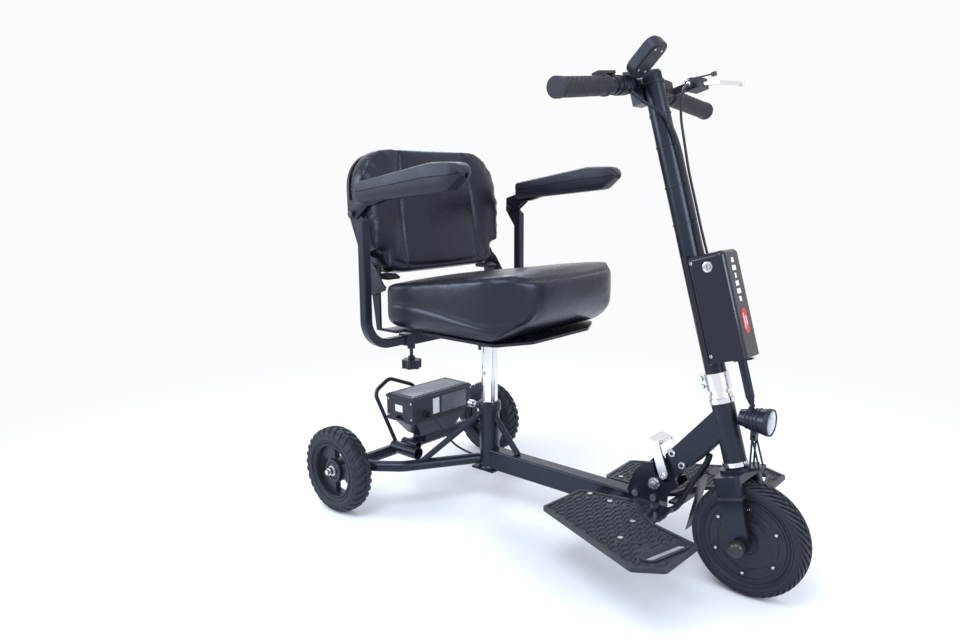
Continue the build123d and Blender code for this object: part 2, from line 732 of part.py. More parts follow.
def motor_axle():
    """Fixed axle of the hub motor, with its stator, washers and nuts."""
    axle = rod((WHEEL_U, -72, WHEEL_W), (WHEEL_U, 72, WHEEL_W), FRONT_AXLE_R)
    for side in (-1, 1):
        axle += rod((WHEEL_U, side * 22, WHEEL_W), (WHEEL_U, side * 39.9, WHEEL_W), 9)
        axle += rod((WHEEL_U, side * 48.1, WHEEL_W), (WHEEL_U, side * 50.5, WHEEL_W), 13)
        end = Plane(origin=(WHEEL_U, side * 50.5, WHEEL_W), z_dir=(0, side, 0))
        axle += extrude(end * RegularPolygon(11, 6), 9)
        axle += rod((WHEEL_U, side * 59, WHEEL_W), (WHEEL_U, side * 71.5, WHEEL_W), 8)
    stator = rod((WHEEL_U, -11, WHEEL_W), (WHEEL_U, 11, WHEEL_W), 56)
    return STEER * (axle + stator)


def mudguard():
    """Bent strip behind the front wheel, fixed to the crown."""
    centre_line = [(-26.3, 233), (-52, 241), (-66, 231), (-119, 132)]
    outline = [(u, w + 1.3) for u, w in centre_line]
    outline += [(u - 1.2, w - 1.3) for u, w in reversed(centre_line)]
    return STEER * side_plate(outline, -21, 21)


def handlebar():
    """Bar that drops a little towards each grip."""
    run = BAR_HALF - BAR_STRAIGHT
    drop = run * tan(radians(BAR_DROOP))
    points = [
        (BAR_U, -BAR_HALF, BAR_W - drop),
        (BAR_U, -BAR_STRAIGHT, BAR_W),
        (BAR_U, BAR_STRAIGHT, BAR_W),
        (BAR_U, BAR_HALF, BAR_W - drop),
    ]
    return STEER * swept(points, [60, 60], Circle(BAR_R) - Circle(BAR_R - 2))


def bar_frame(y):
    """Location on the left half of the bar, with local Z outward along it."""
    droop = radians(BAR_DROOP)
    w = BAR_W - (y - BAR_STRAIGHT) * tan(droop)
    return Plane(origin=(BAR_U, y, w), x_dir=(1, 0, 0), z_dir=(0, cos(droop), -sin(droop))).location


def bar_ring(y, length, radius, bore=BAR_R):
    """A sleeve round the left half of the bar, starting at y."""
    sleeve = Cylinder(radius, length, align=BASE) - Pos(0, 0, -1) * Cylinder(bore, length + 2, align=BASE)
    return bar_frame(y) * sleeve


def grips():
    """Two soft grips with closed ends."""
    grip = bar_ring(GRIP_START, BAR_HALF - 0.5 - GRIP_START, GRIP_R)
    grip += bar_ring(GRIP_START, 12, GRIP_R + 1.5)
    grip += bar_ring(BAR_HALF - 8, 8, GRIP_R + 1, bore=BAR_R)
    grip += bar_frame(BAR_HALF) * Cylinder(GRIP_R + 1, 5, align=BASE)
    return STEER * pair(grip)


def throttle_body():
    """Thumb throttle housing inboard of the right grip, and the collar between it and the grip."""
    body = bar_ring(50, 29, 18)
    nose = bar_frame(52) * (Pos(8, 0, 0) * Box(20, 24, 22, align=BASE))
    body += nose - bar_frame(40) * Cylinder(BAR_R, 60, align=BASE)
    collar = bar_ring(96, 16, 15)
    return group(STEER * other_side(body), STEER * other_side(collar))


def throttle_lever():
    """Thumb lever that turns about the bar, with its paddle under the grip."""
    ring = bar_ring(80.5, 13, 16.5, bore=BAR_R + RUNNING_CLEARANCE)
    paddle = Pos(0, -22.5, 1) * Box(15, 5, 58, align=BASE)
    web = Pos(0, -17.5, 1) * Box(10, 9, 11, align=BASE)
    lever = bar_frame(80.5) * (paddle + web)
    return STEER * other_side(ring + (lever - bar_frame(70) * Cylinder(BAR_R + 1, 60, align=BASE)))


def display():
    """Tilted display pod on a bracket that clasps the bar."""
    pod = Box(76, 50, 20)
    pod = fillet(pod.edges().filter_by(Axis.Z), 20)
    pod = fillet(pod.edges().group_by(Axis.Z)[-1], 5)
    pod = Pos(station(657), -66, 967) * Rot(0, -45, 0) * pod
    foot = STEER * other_side(bar_ring(38, 11, 14.5))
    arm = block((station(600), station(636)), (-49, -38), (936, 948))
    return pod + arm + foot - STEER * handlebar_space()


def handlebar_space():
    """The bar's outer shape on its right half."""
    return other_side(bar_frame(BAR_STRAIGHT) * Cylinder(BAR_R, 120, align=BASE))


def brake_mount():
    """Brake lever clamp with its black body, and the switch block beside it."""
    clamp = bar_ring(98, 15, 16)
    arm = block((BAR_U + 8, BAR_U + 50), (99, 113), (BAR_W - 15, BAR_W - 1))
    body = block((BAR_U + 44, BAR_U + 72), (100, 146), (BAR_W - 17, BAR_W + 3))
    body = fillet(body.edges().filter_by(Axis.Z), 4)
    body -= block((BAR_U + 43, BAR_U + 90), (124, 150), (BAR_W - 10.4, BAR_W - 3.6))
    pin = rod((BAR_U + 62, LEVER_Y, BAR_W - 12), (BAR_U + 62, LEVER_Y, BAR_W - 2), LEVER_PIN_R)
    solid = clamp + arm + body + pin - bar_frame(80) * Cylinder(BAR_R, 60, align=BASE)
    solid += rod((BAR_U + 58, 86, BAR_W - 9), (BAR_U + 58, 101, BAR_W - 8), 5)
    solid -= rod((BAR_U + 52, 112, BAR_W), (BAR_U + 52, 112, BAR_W + 10), BELL_PIN_R + RUNNING_CLEARANCE)
    switch = bar_ring(58, 34, 18)
    switch += bar_frame(60) * (Pos(16, 0, 0) * Box(22, 26, 26, align=BASE)) - bar_frame(50) * Cylinder(
        BAR_R, 60, align=BASE)
    return group(STEER * solid, STEER * switch)


def brake_lever():
    """Cast lever with a round end, pivoted in the slot of the clamp's body."""
    w = BAR_W - 7
    outline = [(56, LEVER_Y), (68, LEVER_Y - 3), (88, 162), (96, 206), (102, 244), (95, 244), (88, 208), (80, 170)]
    blade = flat_plate([(BAR_U + u, y) for u, y in outline], w - 3, w + 3, corner=2)
    lever = blade + rod((BAR_U + 62, LEVER_Y, w - 3), (BAR_U + 62, LEVER_Y, w + 3), 7)
    lever += rod((BAR_U + 98.5, 244, w - 5), (BAR_U + 98.5, 244, w + 5), 6)
    lever -= rod((BAR_U + 62, LEVER_Y, w - 9), (BAR_U + 62, LEVER_Y, w + 9), LEVER_PIN_R + RUNNING_CLEARANCE)
    return STEER * lever


def control_cables():
    """Brake cable and wiring harness down the front of the column to the case."""
    routes = (
        (((BAR_U + 58, 85, BAR_W - 9), (BAR_U + 57, 68, BAR_W - 14), (BAR_U + 60, 44, BAR_W - 36),
          (BAR_U + 58, 24, BAR_W - 74), (28, 14, BAR_W - 126), (26, 10, BAR_W - 180),
          (27, 9, BAR_W - 234), (26, 10, BAR_W - 288), (28, 9, 641)), BRAKE_CABLE_R),
        (((BAR_U + 14, -56, BAR_W - 18), (BAR_U + 22, -44, BAR_W - 38), (BAR_U + 38, -26, BAR_W - 56),
          (22, -16, BAR_W - 84), (27, -8, BAR_W - 126), (25, -4, BAR_W - 180),
          (26, -5, BAR_W - 234), (25, -4, BAR_W - 288), (26, -5, 641)), HARNESS_R),
    )
    return group(*[STEER * cable(points, radius) for points, radius in routes])


def controller_case():
    """Controller case with a rounded top and a channel for the column."""
    body = block((CASE_REAR, CASE_FRONT), (-CASE_HALF, CASE_HALF), (CASE_BOTTOM, CASE_BOTTOM + CASE_LENGTH))
    front_edges = body.edges().filter_by(Axis.Z).sort_by(Axis.X)[-2:]
    body = fillet(front_edges, 12)
    top_edges = body.faces().sort_by(Axis.Z)[-1].edges().sort_by(Axis.X)[-1:]
    body = fillet(top_edges, 10)
    flange = block((CASE_REAR - 3, CASE_REAR + 6), (-CASE_HALF - 2, CASE_HALF + 2),
                   (CASE_BOTTOM - 3, CASE_BOTTOM + CASE_LENGTH + 3))
    body += flange
    body -= Pos(0, 0, CASE_BOTTOM - 10) * Cylinder(COLUMN_R, CASE_LENGTH + 40, align=BASE)
    key_bore = rod((44, -CASE_HALF - 10, 614), (44, -CASE_HALF + 12, 614), KEY_R + RUNNING_CLEARANCE)
    return STEER * (body - key_bore)


def key_switch():
    """Barrel of the key switch on the right side of the case."""
    barrel = rod((44, -CASE_HALF - 3, 614), (44, -CASE_HALF + 11, 614), KEY_R)
    barrel -= block((43.2, 44.8), (-CASE_HALF - 4, -CASE_HALF + 1), (610, 618))
    return STEER * barrel


def bell_lever():
    """Striker of the bell on top of the brake body: a stalk with a round end."""
    w = BAR_W + 3.4
    hub = rod((BAR_U + 52, 112, w), (BAR_U + 52, 112, w + 5), 5)
    pin = rod((BAR_U + 52, 112, w - 3), (BAR_U + 52, 112, w), BELL_PIN_R)
    stalk = rod((BAR_U + 52, 112, w + 3), (BAR_U + 88, 142, w + 3), 1.6)
    end = rod((BAR_U + 88, 142, w - 1), (BAR_U + 88, 142, w + 6), 5.5)
    return STEER * (hub + pin + stalk + end)


def lamp_bracket():
    """Bent wire bracket from the crown up to the headlight, and the boot of the lamp's lead."""
    pivot_u = (LAMP_PIVOT[0] - TRAIL_POINT) * cos(RAKE) + LAMP_PIVOT[1] * sin(RAKE)
    pivot_w = (TRAIL_POINT - LAMP_PIVOT[0]) * sin(RAKE) + LAMP_PIVOT[1] * cos(RAKE)
    bracket = rod((pivot_u, -13, pivot_w), (pivot_u, 13, pivot_w), 3.0)
    for y in (-9, 9):
        for foot_u in (29, 46):
            bracket += rod((pivot_u, y, pivot_w), (foot_u, y, NOSE_TOP), 1.8)
    boot = Pos(54, 0, 373) * Cylinder(8, CASE_BOTTOM - 3 - 373, align=BASE)
    tip = Pos(54, 0, 357) * Cone(4, 8, 16, align=BASE)
    bracket -= block((0, 80), (-20, 20), (NOSE_TOP - 10, NOSE_TOP))
    return group(STEER * bracket, STEER * (boot + tip))


def headlight_case():
    """Tapered lamp body with a pivot lug underneath."""
    x = station(LAMP_X)
    body = Pos(x, 0, LAMP_Z) * Rot(0, 90, 0) * Cone(15, LAMP_R, LAMP_LENGTH - 8, align=BASE)
    body += rod((x + LAMP_LENGTH - 8.1, 0, LAMP_Z), (x + LAMP_LENGTH, 0, LAMP_Z), LAMP_R)
    body -= rod((x + LAMP_LENGTH - 6, 0, LAMP_Z), (x + LAMP_LENGTH + 1, 0, LAMP_Z), LAMP_R - 2.5)
    pivot_x, pivot_z = station(LAMP_PIVOT[0]), LAMP_PIVOT[1]
    lug = block((pivot_x - 5, pivot_x + 5), (-6.6, 6.6), (pivot_z - 5, LAMP_Z - 12))
    body += lug
    body += rod((x + 18, 0, LAMP_Z), (x + 18, 0, LAMP_Z + 23), 5)
    return body - rod((pivot_x, -20, pivot_z), (pivot_x, 20, pivot_z), 3.0 + RUNNING_CLEARANCE)


def headlight_lens():
    """Clear lens in the front of the lamp."""
    x = station(LAMP_X) + LAMP_LENGTH
    return rod((x - 6, 0, LAMP_Z), (x - 1.5, 0, LAMP_Z), LAMP_R - 2.6)


def front_tyre():
    """Front tyre on the hub motor."""
    return tyre(FRONT_X, FRONT_WHEEL_R, HUB_R, TYRE_WIDTH / 2)


def motor_hub():
    """Hollow hub shell with two screwed covers that run on the axle."""
    x, z = FRONT_X, FRONT_WHEEL_R
    shell = rod((x, -19, z), (x, 19, z), HUB_R) - rod((x, -14, z), (x, 14, z), HUB_R - 10)
    for side in (-1, 1):
        shell += rod((x, side * 13, z), (x, side * 21, z), 20)
    shell -= rod((x, -40, z), (x, 40, z), FRONT_AXLE_R + RUNNING_CLEARANCE)
    for side in (-1, 1):
        shell -= rod((x, side * 21.5, z), (x, side * 19.5, z), 12)
    for index in range(HUB_SCREWS):
        angle = radians(28 + index * 360 / HUB_SCREWS)
        for side in (-1, 1):
            head_x, head_z = x + 62 * cos(angle), z + 62 * sin(angle)
            shell += rod((head_x, side * 18, head_z), (head_x, side * 20.4, head_z), 3.6)
    return shell


# --- seat ------------------------------------------------------------------


def seat_post():
    """Chrome post that slides in the seat tube."""
    x = station(SEAT_X)
    post = rod((x, 0, 130), (x, 0, SWIVEL_Z), POST_R)
    post -= rod((x, 0, 129), (x, 0, 300), POST_R - 2.5)
    button_y = -POST_R
    post += rod((x, 0, SWIVEL_Z - 1), (x, 0, SWIVEL_Z + 16), SPIGOT_R)
    return post - rod((x, button_y - 5, BUTTON_Z), (x, 0, BUTTON_Z), BUTTON_R + RUNNING_CLEARANCE)


def post_button():
    """Sprung button that stops the post at its height."""
    x = station(SEAT_X)
    return rod((x, -POST_R - 2.5, BUTTON_Z), (x, -POST_R + 9, BUTTON_Z), BUTTON_R)


def seat_base():
    """Swivel head, base plate, arm receivers and back brackets under the cushion."""
    x = station(SEAT_X)
    post_x = station(ARM_POST_X)
    base = rod((x, 0, SWIVEL_Z + 0.4), (x, 0, SWIVEL_Z + 7), 31)
    base += rod((x, 0, SWIVEL_Z + 7), (x, 0, 413), 21)
    base += block((x - 105, x + 105), (-85, 85), (412, 418))
    base += block((x - 95, x + 95), (-60, 60), (417, 429))
    pan_points = [(station(96), -178), (station(400), -178), (station(440), -100), (station(440), 100),
                  (station(400), 178), (station(96), 178)]
    base += flat_plate(pan_points, 428, 434, corner=20)
    base += block((post_x - 13, post_x + 13), (-158, 158), (ARM_BAR_Z - 13, ARM_BAR_Z + 13))
    base += block((post_x - 13, x - 90), (-60, 60), (ARM_BAR_Z + 8, 429))
    base -= rod((x, 0, SWIVEL_Z), (x, 0, SWIVEL_Z + 18), SPIGOT_R + RUNNING_CLEARANCE)
    base += rod((x + 36, LEVER_PIN_Y, 394), (x + 36, LEVER_PIN_Y, 413), LEVER_PIN_R)
    base -= block((post_x - 10.1, post_x + 10.1), (-170, 170), (ARM_BAR_Z - 10.1, ARM_BAR_Z + 10.1))
    for side in (-1, 1):
        y = side * KNOB_Y
        base += rod((post_x, y, ARM_BAR_Z - 24), (post_x, y, ARM_BAR_Z - 11), 9)
        base -= rod((post_x, y, ARM_BAR_Z - 30), (post_x, y, ARM_BAR_Z - 9), SCREW_R)
    bracket = back_bracket_lower()
    return base + bracket + other_side(bracket)


def back_bracket_lower():
    """Left plate from the seat pan back and up to the backrest's pivot."""
    px, pz = BACK_PIVOT
    points = [(px - 15, pz - 12), (px - 8, pz + 14), (px + 8, pz + 14), (px + 16, pz - 4), (px + 16, 434),
              (px + 70, 434), (px + 70, 428), (px + 4, 428)]
    plate = side_plate([(station(a), b) for a, b in points], 196, 201, corner=2)
    plate += block((station(px + 28), station(px + 70)), (170, 201), (428, 434))
    return plate - rod((station(px), 100, pz), (station(px), 230, pz), BACK_PIN_R + RUNNING_CLEARANCE)


def cushion_plan():
    """Plan of the seat cushion, with large round corners at its front."""
    corners = [(88, -206), (88, 206), (CUSHION_FRONT, 208), (CUSHION_FRONT, -208)]
    outline = make_face(Polyline(*[(station(x), y) for x, y in corners], close=True))
    corner_points = outline.vertices().sort_by(Axis.X)
    outline = fillet(corner_points[:2], 40)
    return fillet(outline.vertices().sort_by(Axis.X)[-2:], 120)


def seat_cushion():
    """Padded seat, thicker towards its front."""
    plan = Pos(0, 0, 400) * extrude(cushion_plan(), 250)
    profile = [(108, CUSHION_BOTTOM), (88, 462), (88, 534), (440, 580), (CUSHION_FRONT, 556), (CUSHION_FRONT, 520),
               (464, 478), (402, CUSHION_BOTTOM)]
    outline = make_face(Polyline(*[(station(x), z) for x, z in profile], close=True))
    outline = fillet(outline.vertices(), 16)
    section = [(-182, CUSHION_BOTTOM), (-212, 462), (-212, 620), (212, 620), (212, 462), (182, CUSHION_BOTTOM)]
    length = Pos(station(60), 0, 0) * extrude(Plane.YZ * make_face(Polyline(*section, close=True)), 460)
    return plan & (Pos(0, 230, 0) * extrude(Plane.XZ * outline, 460)) & length


def release_lever():
    """Lever under the seat that frees the swivel."""
    x = station(SEAT_X) + 36
    lever = rod((x, LEVER_PIN_Y, 398), (x, LEVER_PIN_Y, 408), 8)
    lever += rod((x, LEVER_PIN_Y, 403), (x + 42, LEVER_PIN_Y + 32, 403), 4)
    lever += rod((x + 40, LEVER_PIN_Y + 30, 403), (x + 58, LEVER_PIN_Y + 44, 401), 6)
    return lever - rod((x, LEVER_PIN_Y, 390), (x, LEVER_PIN_Y, 413), LEVER_PIN_R + RUNNING_CLEARANCE)


def back_face(margin):
    """Front view of the backrest, drawn in by a margin."""
    low, high, half = 548.0, 834.0, 232.0
    corners = [(-half + 30, low), (half - 30, low), (half, 700), (half - 14, high), (14 - half, high), (-half, 700)]
    outline = make_face(Polyline(*corners, close=True))
    outline = fillet(outline.vertices().sort_by(Axis.Y)[:2], 88)
    outline = fillet(outline.vertices().sort_by(Axis.Y)[-2:], 94)
    return offset(outline, -margin) if margin else outline


def back_slab(x_low, x_high, margin):
    """A slab with the backrest's outline."""
    return Pos(station(x_low), 0, 0) * extrude(Plane.YZ * back_face(margin), x_high - x_low)


def leaned(shape):
    """A piece of the backrest, tipped back about its pivot."""
    px, pz = station(BACK_PIVOT[0]), BACK_PIVOT[1]
    return Pos(px, 0, pz) * Rot(0, -BACK_LEAN, 0) * Pos(-px, 0, -pz) * shape


def back_shell():
    """Backrest board with its folding brackets and pivot pins."""
    px, pz = BACK_PIVOT
    points = [(px - 30, pz + 30), (px - 30, pz + 96), (px - 24.5, pz + 96), (px - 24.5, pz + 40), (px + 6, pz + 28),
              (px + 12, pz + 8), (px + 8, pz - 10), (px - 8, pz - 10)]
    bracket = side_plate([(station(a), b) for a, b in points], 188, 195.5, corner=2)
    half = bracket + rod((station(px), 189, pz), (station(px), 206, pz), BACK_PIN_R)
    return leaned(back_slab(38, 46, 6) + half + other_side(half))


def back_cushion():
    """Padded front of the backrest, cut away around the folding brackets."""
    px, pz = BACK_PIVOT
    pad = back_slab(46.4, 98, 0)
    pocket = block((station(px - 40), station(px + 40)), (180, 240), (500, pz + 42))
    return leaned(pad - pocket - other_side(pocket))


def arm_post(side):
    """Square tube that comes out of the receiver, bends up and carries the arm."""
    x = station(ARM_POST_X)
    points = [(x, 60, ARM_BAR_Z), (x, ARM_Y, ARM_BAR_Z), (x, ARM_Y, 676)]
    path = FilletPolyline(*points, radius=[58])
    start = Plane(origin=path @ 0, x_dir=(1, 0, 0), z_dir=path % 0)
    section = RectangleRounded(ARM_TUBE, ARM_TUBE, 3) - RectangleRounded(ARM_TUBE - 4, ARM_TUBE - 4, 1.5)
    tube = sweep(start * section, path=path)
    px, pz = ARM_PIVOT
    head = side_plate([(station(px - 12), pz - 12), (station(px - 12), pz + 10), (station(px + 8), pz + 12),
                       (station(ARM_POST_X + 10), 676), (station(ARM_POST_X + 10), 640),
                       (station(ARM_POST_X - 10), 640)], ARM_Y - 5, ARM_Y + 5, corner=2)
    post = tube + head
    post += rod((station(px), ARM_Y - 14, pz), (station(px), ARM_Y + 14, pz), ARM_PIN_R)
    return post if side > 0 else other_side(post)


def armrest(side):
    """Arm bracket that straddles the post's head, and its pad, as two solids."""
    px, pz = ARM_PIVOT
    cheek = side_plate([(station(a), b) for a, b in
                        [(px - 13, pz - 9), (px - 12, pz + 26), (px + 40, pz + 42), (385, 752), (385, 744),
                         (px + 110, pz + 34), (px + 46, pz + 14), (px + 12, pz - 10)]],
                       ARM_Y + 5.4, ARM_Y + 9, corner=2)
    cheek_in = Pos(0, -14.4, 0) * cheek
    bridge = side_plate([(station(a), b) for a, b in
                         [(px + 40, pz + 42), (385, 752), (385, 744), (px + 110, pz + 34), (px + 56, pz + 30)]],
                        ARM_Y - 9, ARM_Y + 9)
    bracket = cheek + cheek_in + bridge
    bracket -= rod((station(px), ARM_Y - 30, pz), (station(px), ARM_Y + 30, pz), ARM_PIN_R + RUNNING_CLEARANCE)
    pad = side_plate([(station(a), b) for a, b in
                      [(115, 731), (117, 755), (330, 790), (390, 790), (408, 778), (396, 756), (386, 753.4)]],
                     ARM_Y - 26, ARM_Y + 28, corner=3)
    shape = group(bracket, pad - bracket)
    if side < 0:
        shape = group(other_side(bracket), other_side(pad - bracket))
    return shape


def star_knob(side):
    """Knob with its threaded rod, below the receiver."""
    x = station(ARM_POST_X)
    y = side * KNOB_Y
    z = ARM_BAR_Z
    screw = rod((x, y, z - 52), (x, y, z - ARM_TUBE / 2 - 0.6), SCREW_R - RUNNING_CLEARANCE)
    hub = rod((x, y, z - 52), (x, y, z - 42), 8)
    head = rod((x, y, z - 70), (x, y, z - 50), 18)
    for index in range(6):
        angle = radians(index * 60)
        lobe_x, lobe_y = x + 17 * cos(angle), y + 17 * sin(angle)
        head += rod((lobe_x, lobe_y, z - 70), (lobe_x, lobe_y, z - 50), 6)
    return screw + hub + head


PARTS = {
    "main_beam": main_beam,
    "seat_tube": seat_tube,
    "rear_frame": rear_frame,
    "rear_axles": lambda: group(rear_axle(1), rear_axle(-1)),
    "battery_tray": battery_tray,
    "rear_hoop": rear_hoop,
    "hinge_plates": hinge_plates,
    "hinge_pivot_bolt": hinge_pivot_bolt,
    "frame_screws": frame_screws,
    "footrest_left": lambda: footrest(1),
    "footrest_right": lambda: footrest(-1),
    "footrest_bracket": footrest_bracket,
    "power_lead": power_lead,
    "seat_lock_pin": seat_lock_pin,
    "down_tube": down_tube,
    "head_tube": head_tube,
    "hinge_knuckle": hinge_knuckle,
    "headset": headset,
    "wiring_loom": wiring_loom,
    "latch_lever": latch_lever,
    "steering_column": steering_column,
    "column_cap": column_cap,
    "column_clamp": column_clamp,
    "fork": fork,
    "motor_axle": motor_axle,
    "mudguard": mudguard,
    "handlebar": handlebar,
    "grips": grips,
    "throttle_body": throttle_body,
    "throttle_lever": throttle_lever,
    "display": display,
    "brake_mount": brake_mount,
    "brake_lever": brake_lever,
    "bell_lever": bell_lever,
    "control_cables": control_cables,
    "controller_case": controller_case,
    "key_switch": key_switch,
    "lamp_bracket": lamp_bracket,
    "headlight_case": headlight_case,
    "headlight_lens": headlight_lens,
    "front_tyre": front_tyre,
    "motor_hub": motor_hub,
    "rear_tyre_left": lambda: rear_tyre(1),
    "rear_tyre_right": lambda: rear_tyre(-1),
    "rear_rim_left": lambda: rear_rim(1),
    "rear_rim_right": lambda: rear_rim(-1),
    "battery_pack": battery_pack,
    "seat_post": seat_post,
    "post_button": post_button,
    "seat_base": seat_base,
    "seat_cushion": seat_cushion,
    "release_lever": release_lever,
    "back_shell": back_shell,
    "back_cushion": back_cushion,
    "arm_post_left": lambda: arm_post(1),
    "arm_post_right": lambda: arm_post(-1),
    "armrest_left": lambda: armrest(1),
    "armrest_right": lambda: armrest(-1),
    "knob_left": lambda: star_knob(1),
    "knob_right": lambda: star_knob(-1),
}

os.makedirs("parts", exist_ok=True)
for name, make in PARTS.items():
    export_step(make(), f"parts/{name}.step")
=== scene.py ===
import json
from math import ceil, cos, exp, hypot, pi, radians, sin, tan, tau

import bmesh
import bpy
from mathutils import Matrix, Vector
from mathutils.bvhtree import BVHTree
from mathutils.kdtree import KDTree


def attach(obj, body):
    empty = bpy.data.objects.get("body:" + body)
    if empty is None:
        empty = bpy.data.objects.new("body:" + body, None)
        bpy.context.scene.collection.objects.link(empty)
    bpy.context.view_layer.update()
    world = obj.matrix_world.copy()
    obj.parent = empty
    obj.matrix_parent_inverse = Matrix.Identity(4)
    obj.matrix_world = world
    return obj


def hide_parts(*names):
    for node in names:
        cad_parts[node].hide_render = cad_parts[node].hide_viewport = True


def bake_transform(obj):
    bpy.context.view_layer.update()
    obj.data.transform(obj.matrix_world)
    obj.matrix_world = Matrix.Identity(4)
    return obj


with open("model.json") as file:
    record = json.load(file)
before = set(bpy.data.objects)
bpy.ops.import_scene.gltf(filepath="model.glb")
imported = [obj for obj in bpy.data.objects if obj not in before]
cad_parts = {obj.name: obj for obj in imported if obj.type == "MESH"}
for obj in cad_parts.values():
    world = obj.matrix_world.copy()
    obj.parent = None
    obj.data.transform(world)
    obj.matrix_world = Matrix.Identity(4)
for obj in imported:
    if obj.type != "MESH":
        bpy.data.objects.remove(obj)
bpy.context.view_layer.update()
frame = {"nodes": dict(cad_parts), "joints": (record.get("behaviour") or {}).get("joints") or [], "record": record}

# Mobility scooter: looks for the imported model.  Geometry is drawn in millimetres in a local
# frame, and each frame's matrix carries it into the row frame in metres.

NODES = frame["nodes"]
JOINTS = {joint["name"]: joint for joint in frame["joints"]}
MM = 0.001
X, Y, Z = Vector((1, 0, 0)), Vector((0, 1, 0)), Vector((0, 0, 1))
REAR_X = JOINTS["rear_wheel_left_spin"]["pos_m"][0] / MM
SIDES = ((1, "left"), (-1, "right"))


def station(distance):
    """X of a point this far ahead of the rear axle."""
    return REAR_X + distance


def side_view(points):
    """Points of the side view, from (distance ahead of the rear axle, height)."""
    return [(station(x), z) for x, z in points]


def place(origin, x_axis, y_axis, z_axis):
    """Matrix from millimetres in a local frame to metres in the row frame."""
    matrix = Matrix((x_axis, y_axis, z_axis)).transposed().to_4x4()
    matrix.translation = origin
    return matrix @ Matrix.Scale(MM, 4)


def steering_place():
    """Frame on the steering axis where it meets the floor: X forward, Z up the axis."""
    joint = JOINTS["steering_turn"]
    axis = Vector(joint["axis"]).normalized()
    point = Vector(joint["pos_m"])
    return place(point - axis * (point.z / axis.z), Y.cross(axis), Y, axis)


def wheel_place(joint_name):
    """Frame at a wheel's centre, with Z along its axle."""
    return place(Vector(JOINTS[joint_name]["pos_m"]), X, -Z, Y)


FOOT_PITCH = radians(3.0)
ROW = place(Vector((0, 0, 0)), X, Y, Z)
SIDE = place(Vector((0, 0, 0)), X, Z, -Y)
STEER = steering_place()
FOOT = place(
    Vector((station(517), 0, 124)) * MM,
    Vector((cos(FOOT_PITCH), 0, sin(FOOT_PITCH))),
    Y,
    Vector((-sin(FOOT_PITCH), 0, cos(FOOT_PITCH))),
)


# --- materials ---


SHEEN = 0.38
SHEEN_TINT = (0.72, 0.8, 1.0, 1)
COAT_ROUGHNESS = 0.08
GRAIN_DEPTH = 0.0004


def shader_node(tree, kind, **values):
    """A new node with values set on its sockets."""
    made = tree.nodes.new(kind)
    for socket, value in values.items():
        made.inputs[socket.replace("_", " ")].default_value = value
    return made


FINISH = {}


def surface(name, colour, worn, roughness, spread, grain=(900, 0.15), metallic=0.0, coat=0.0,
        cells=False, stretch=(1, 1, 1), blotch=14):
    """Adds a finish whose colour, roughness and grain vary over the surface."""
    made = FINISH[name] = bpy.data.materials.new(name)
    made.use_nodes = True
    tree = made.node_tree
    link = tree.links.new
    shader = tree.nodes["Principled BSDF"]
    shader.inputs["Metallic"].default_value = metallic
    shader.inputs["Coat Weight"].default_value = coat
    shader.inputs["Coat Roughness"].default_value = COAT_ROUGHNESS
    if not metallic:
        shader.inputs["Specular IOR Level"].default_value = SHEEN
        shader.inputs["Specular Tint"].default_value = SHEEN_TINT
    position = shader_node(tree, "ShaderNodeTexCoord")
    mapping = shader_node(tree, "ShaderNodeMapping", Scale=stretch)
    link(position.outputs["Object"], mapping.inputs["Vector"])

    broad = shader_node(tree, "ShaderNodeTexNoise", Scale=blotch, Detail=6)
    link(mapping.outputs["Vector"], broad.inputs["Vector"])
    blend = shader_node(tree, "ShaderNodeMix")
    blend.data_type = "RGBA"
    blend.inputs["A"].default_value = (*colour, 1)
    blend.inputs["B"].default_value = (*worn, 1)
    link(broad.outputs["Fac"], blend.inputs["Factor"])
    link(blend.outputs["Result"], shader.inputs["Base Color"])

    gloss = shader_node(tree, "ShaderNodeMapRange", From_Min=0.3, From_Max=0.7, To_Min=roughness - spread,
            To_Max=roughness + spread)
    link(broad.outputs["Fac"], gloss.inputs["Value"])
    link(gloss.outputs["Result"], shader.inputs["Roughness"])

    scale, strength = grain
    if cells:
        fine = shader_node(tree, "ShaderNodeTexVoronoi", Scale=scale)
    else:
        fine = shader_node(tree, "ShaderNodeTexNoise", Scale=scale, Detail=4)
    link(mapping.outputs["Vector"], fine.inputs["Vector"])
    bump = shader_node(tree, "ShaderNodeBump", Strength=strength, Distance=GRAIN_DEPTH)
    link(fine.outputs["Distance" if cells else "Fac"], bump.inputs["Height"])
    link(bump.outputs["Normal"], shader.inputs["Normal"])
    return made


def creased(made, scale=22, strength=0.25, distance=0.004):
    """Adds long soft creases under a finish's fine grain."""
    tree = made.node_tree
    link = tree.links.new
    fold = shader_node(tree, "ShaderNodeTexNoise", Scale=scale, Distortion=0.6)
    link(tree.nodes["Mapping"].outputs["Vector"], fold.inputs["Vector"])
    bump = shader_node(tree, "ShaderNodeBump", Strength=strength, Distance=distance)
    link(fold.outputs["Fac"], bump.inputs["Height"])
    link(bump.outputs["Normal"], tree.nodes["Bump"].inputs["Normal"])
    return made


def clear(made):
    """Makes a finish transparent, like a moulded lens."""
    shader = made.node_tree.nodes["Principled BSDF"]
    shader.inputs["Transmission Weight"].default_value = 0.9
    shader.inputs["IOR"].default_value = 1.46
    return made


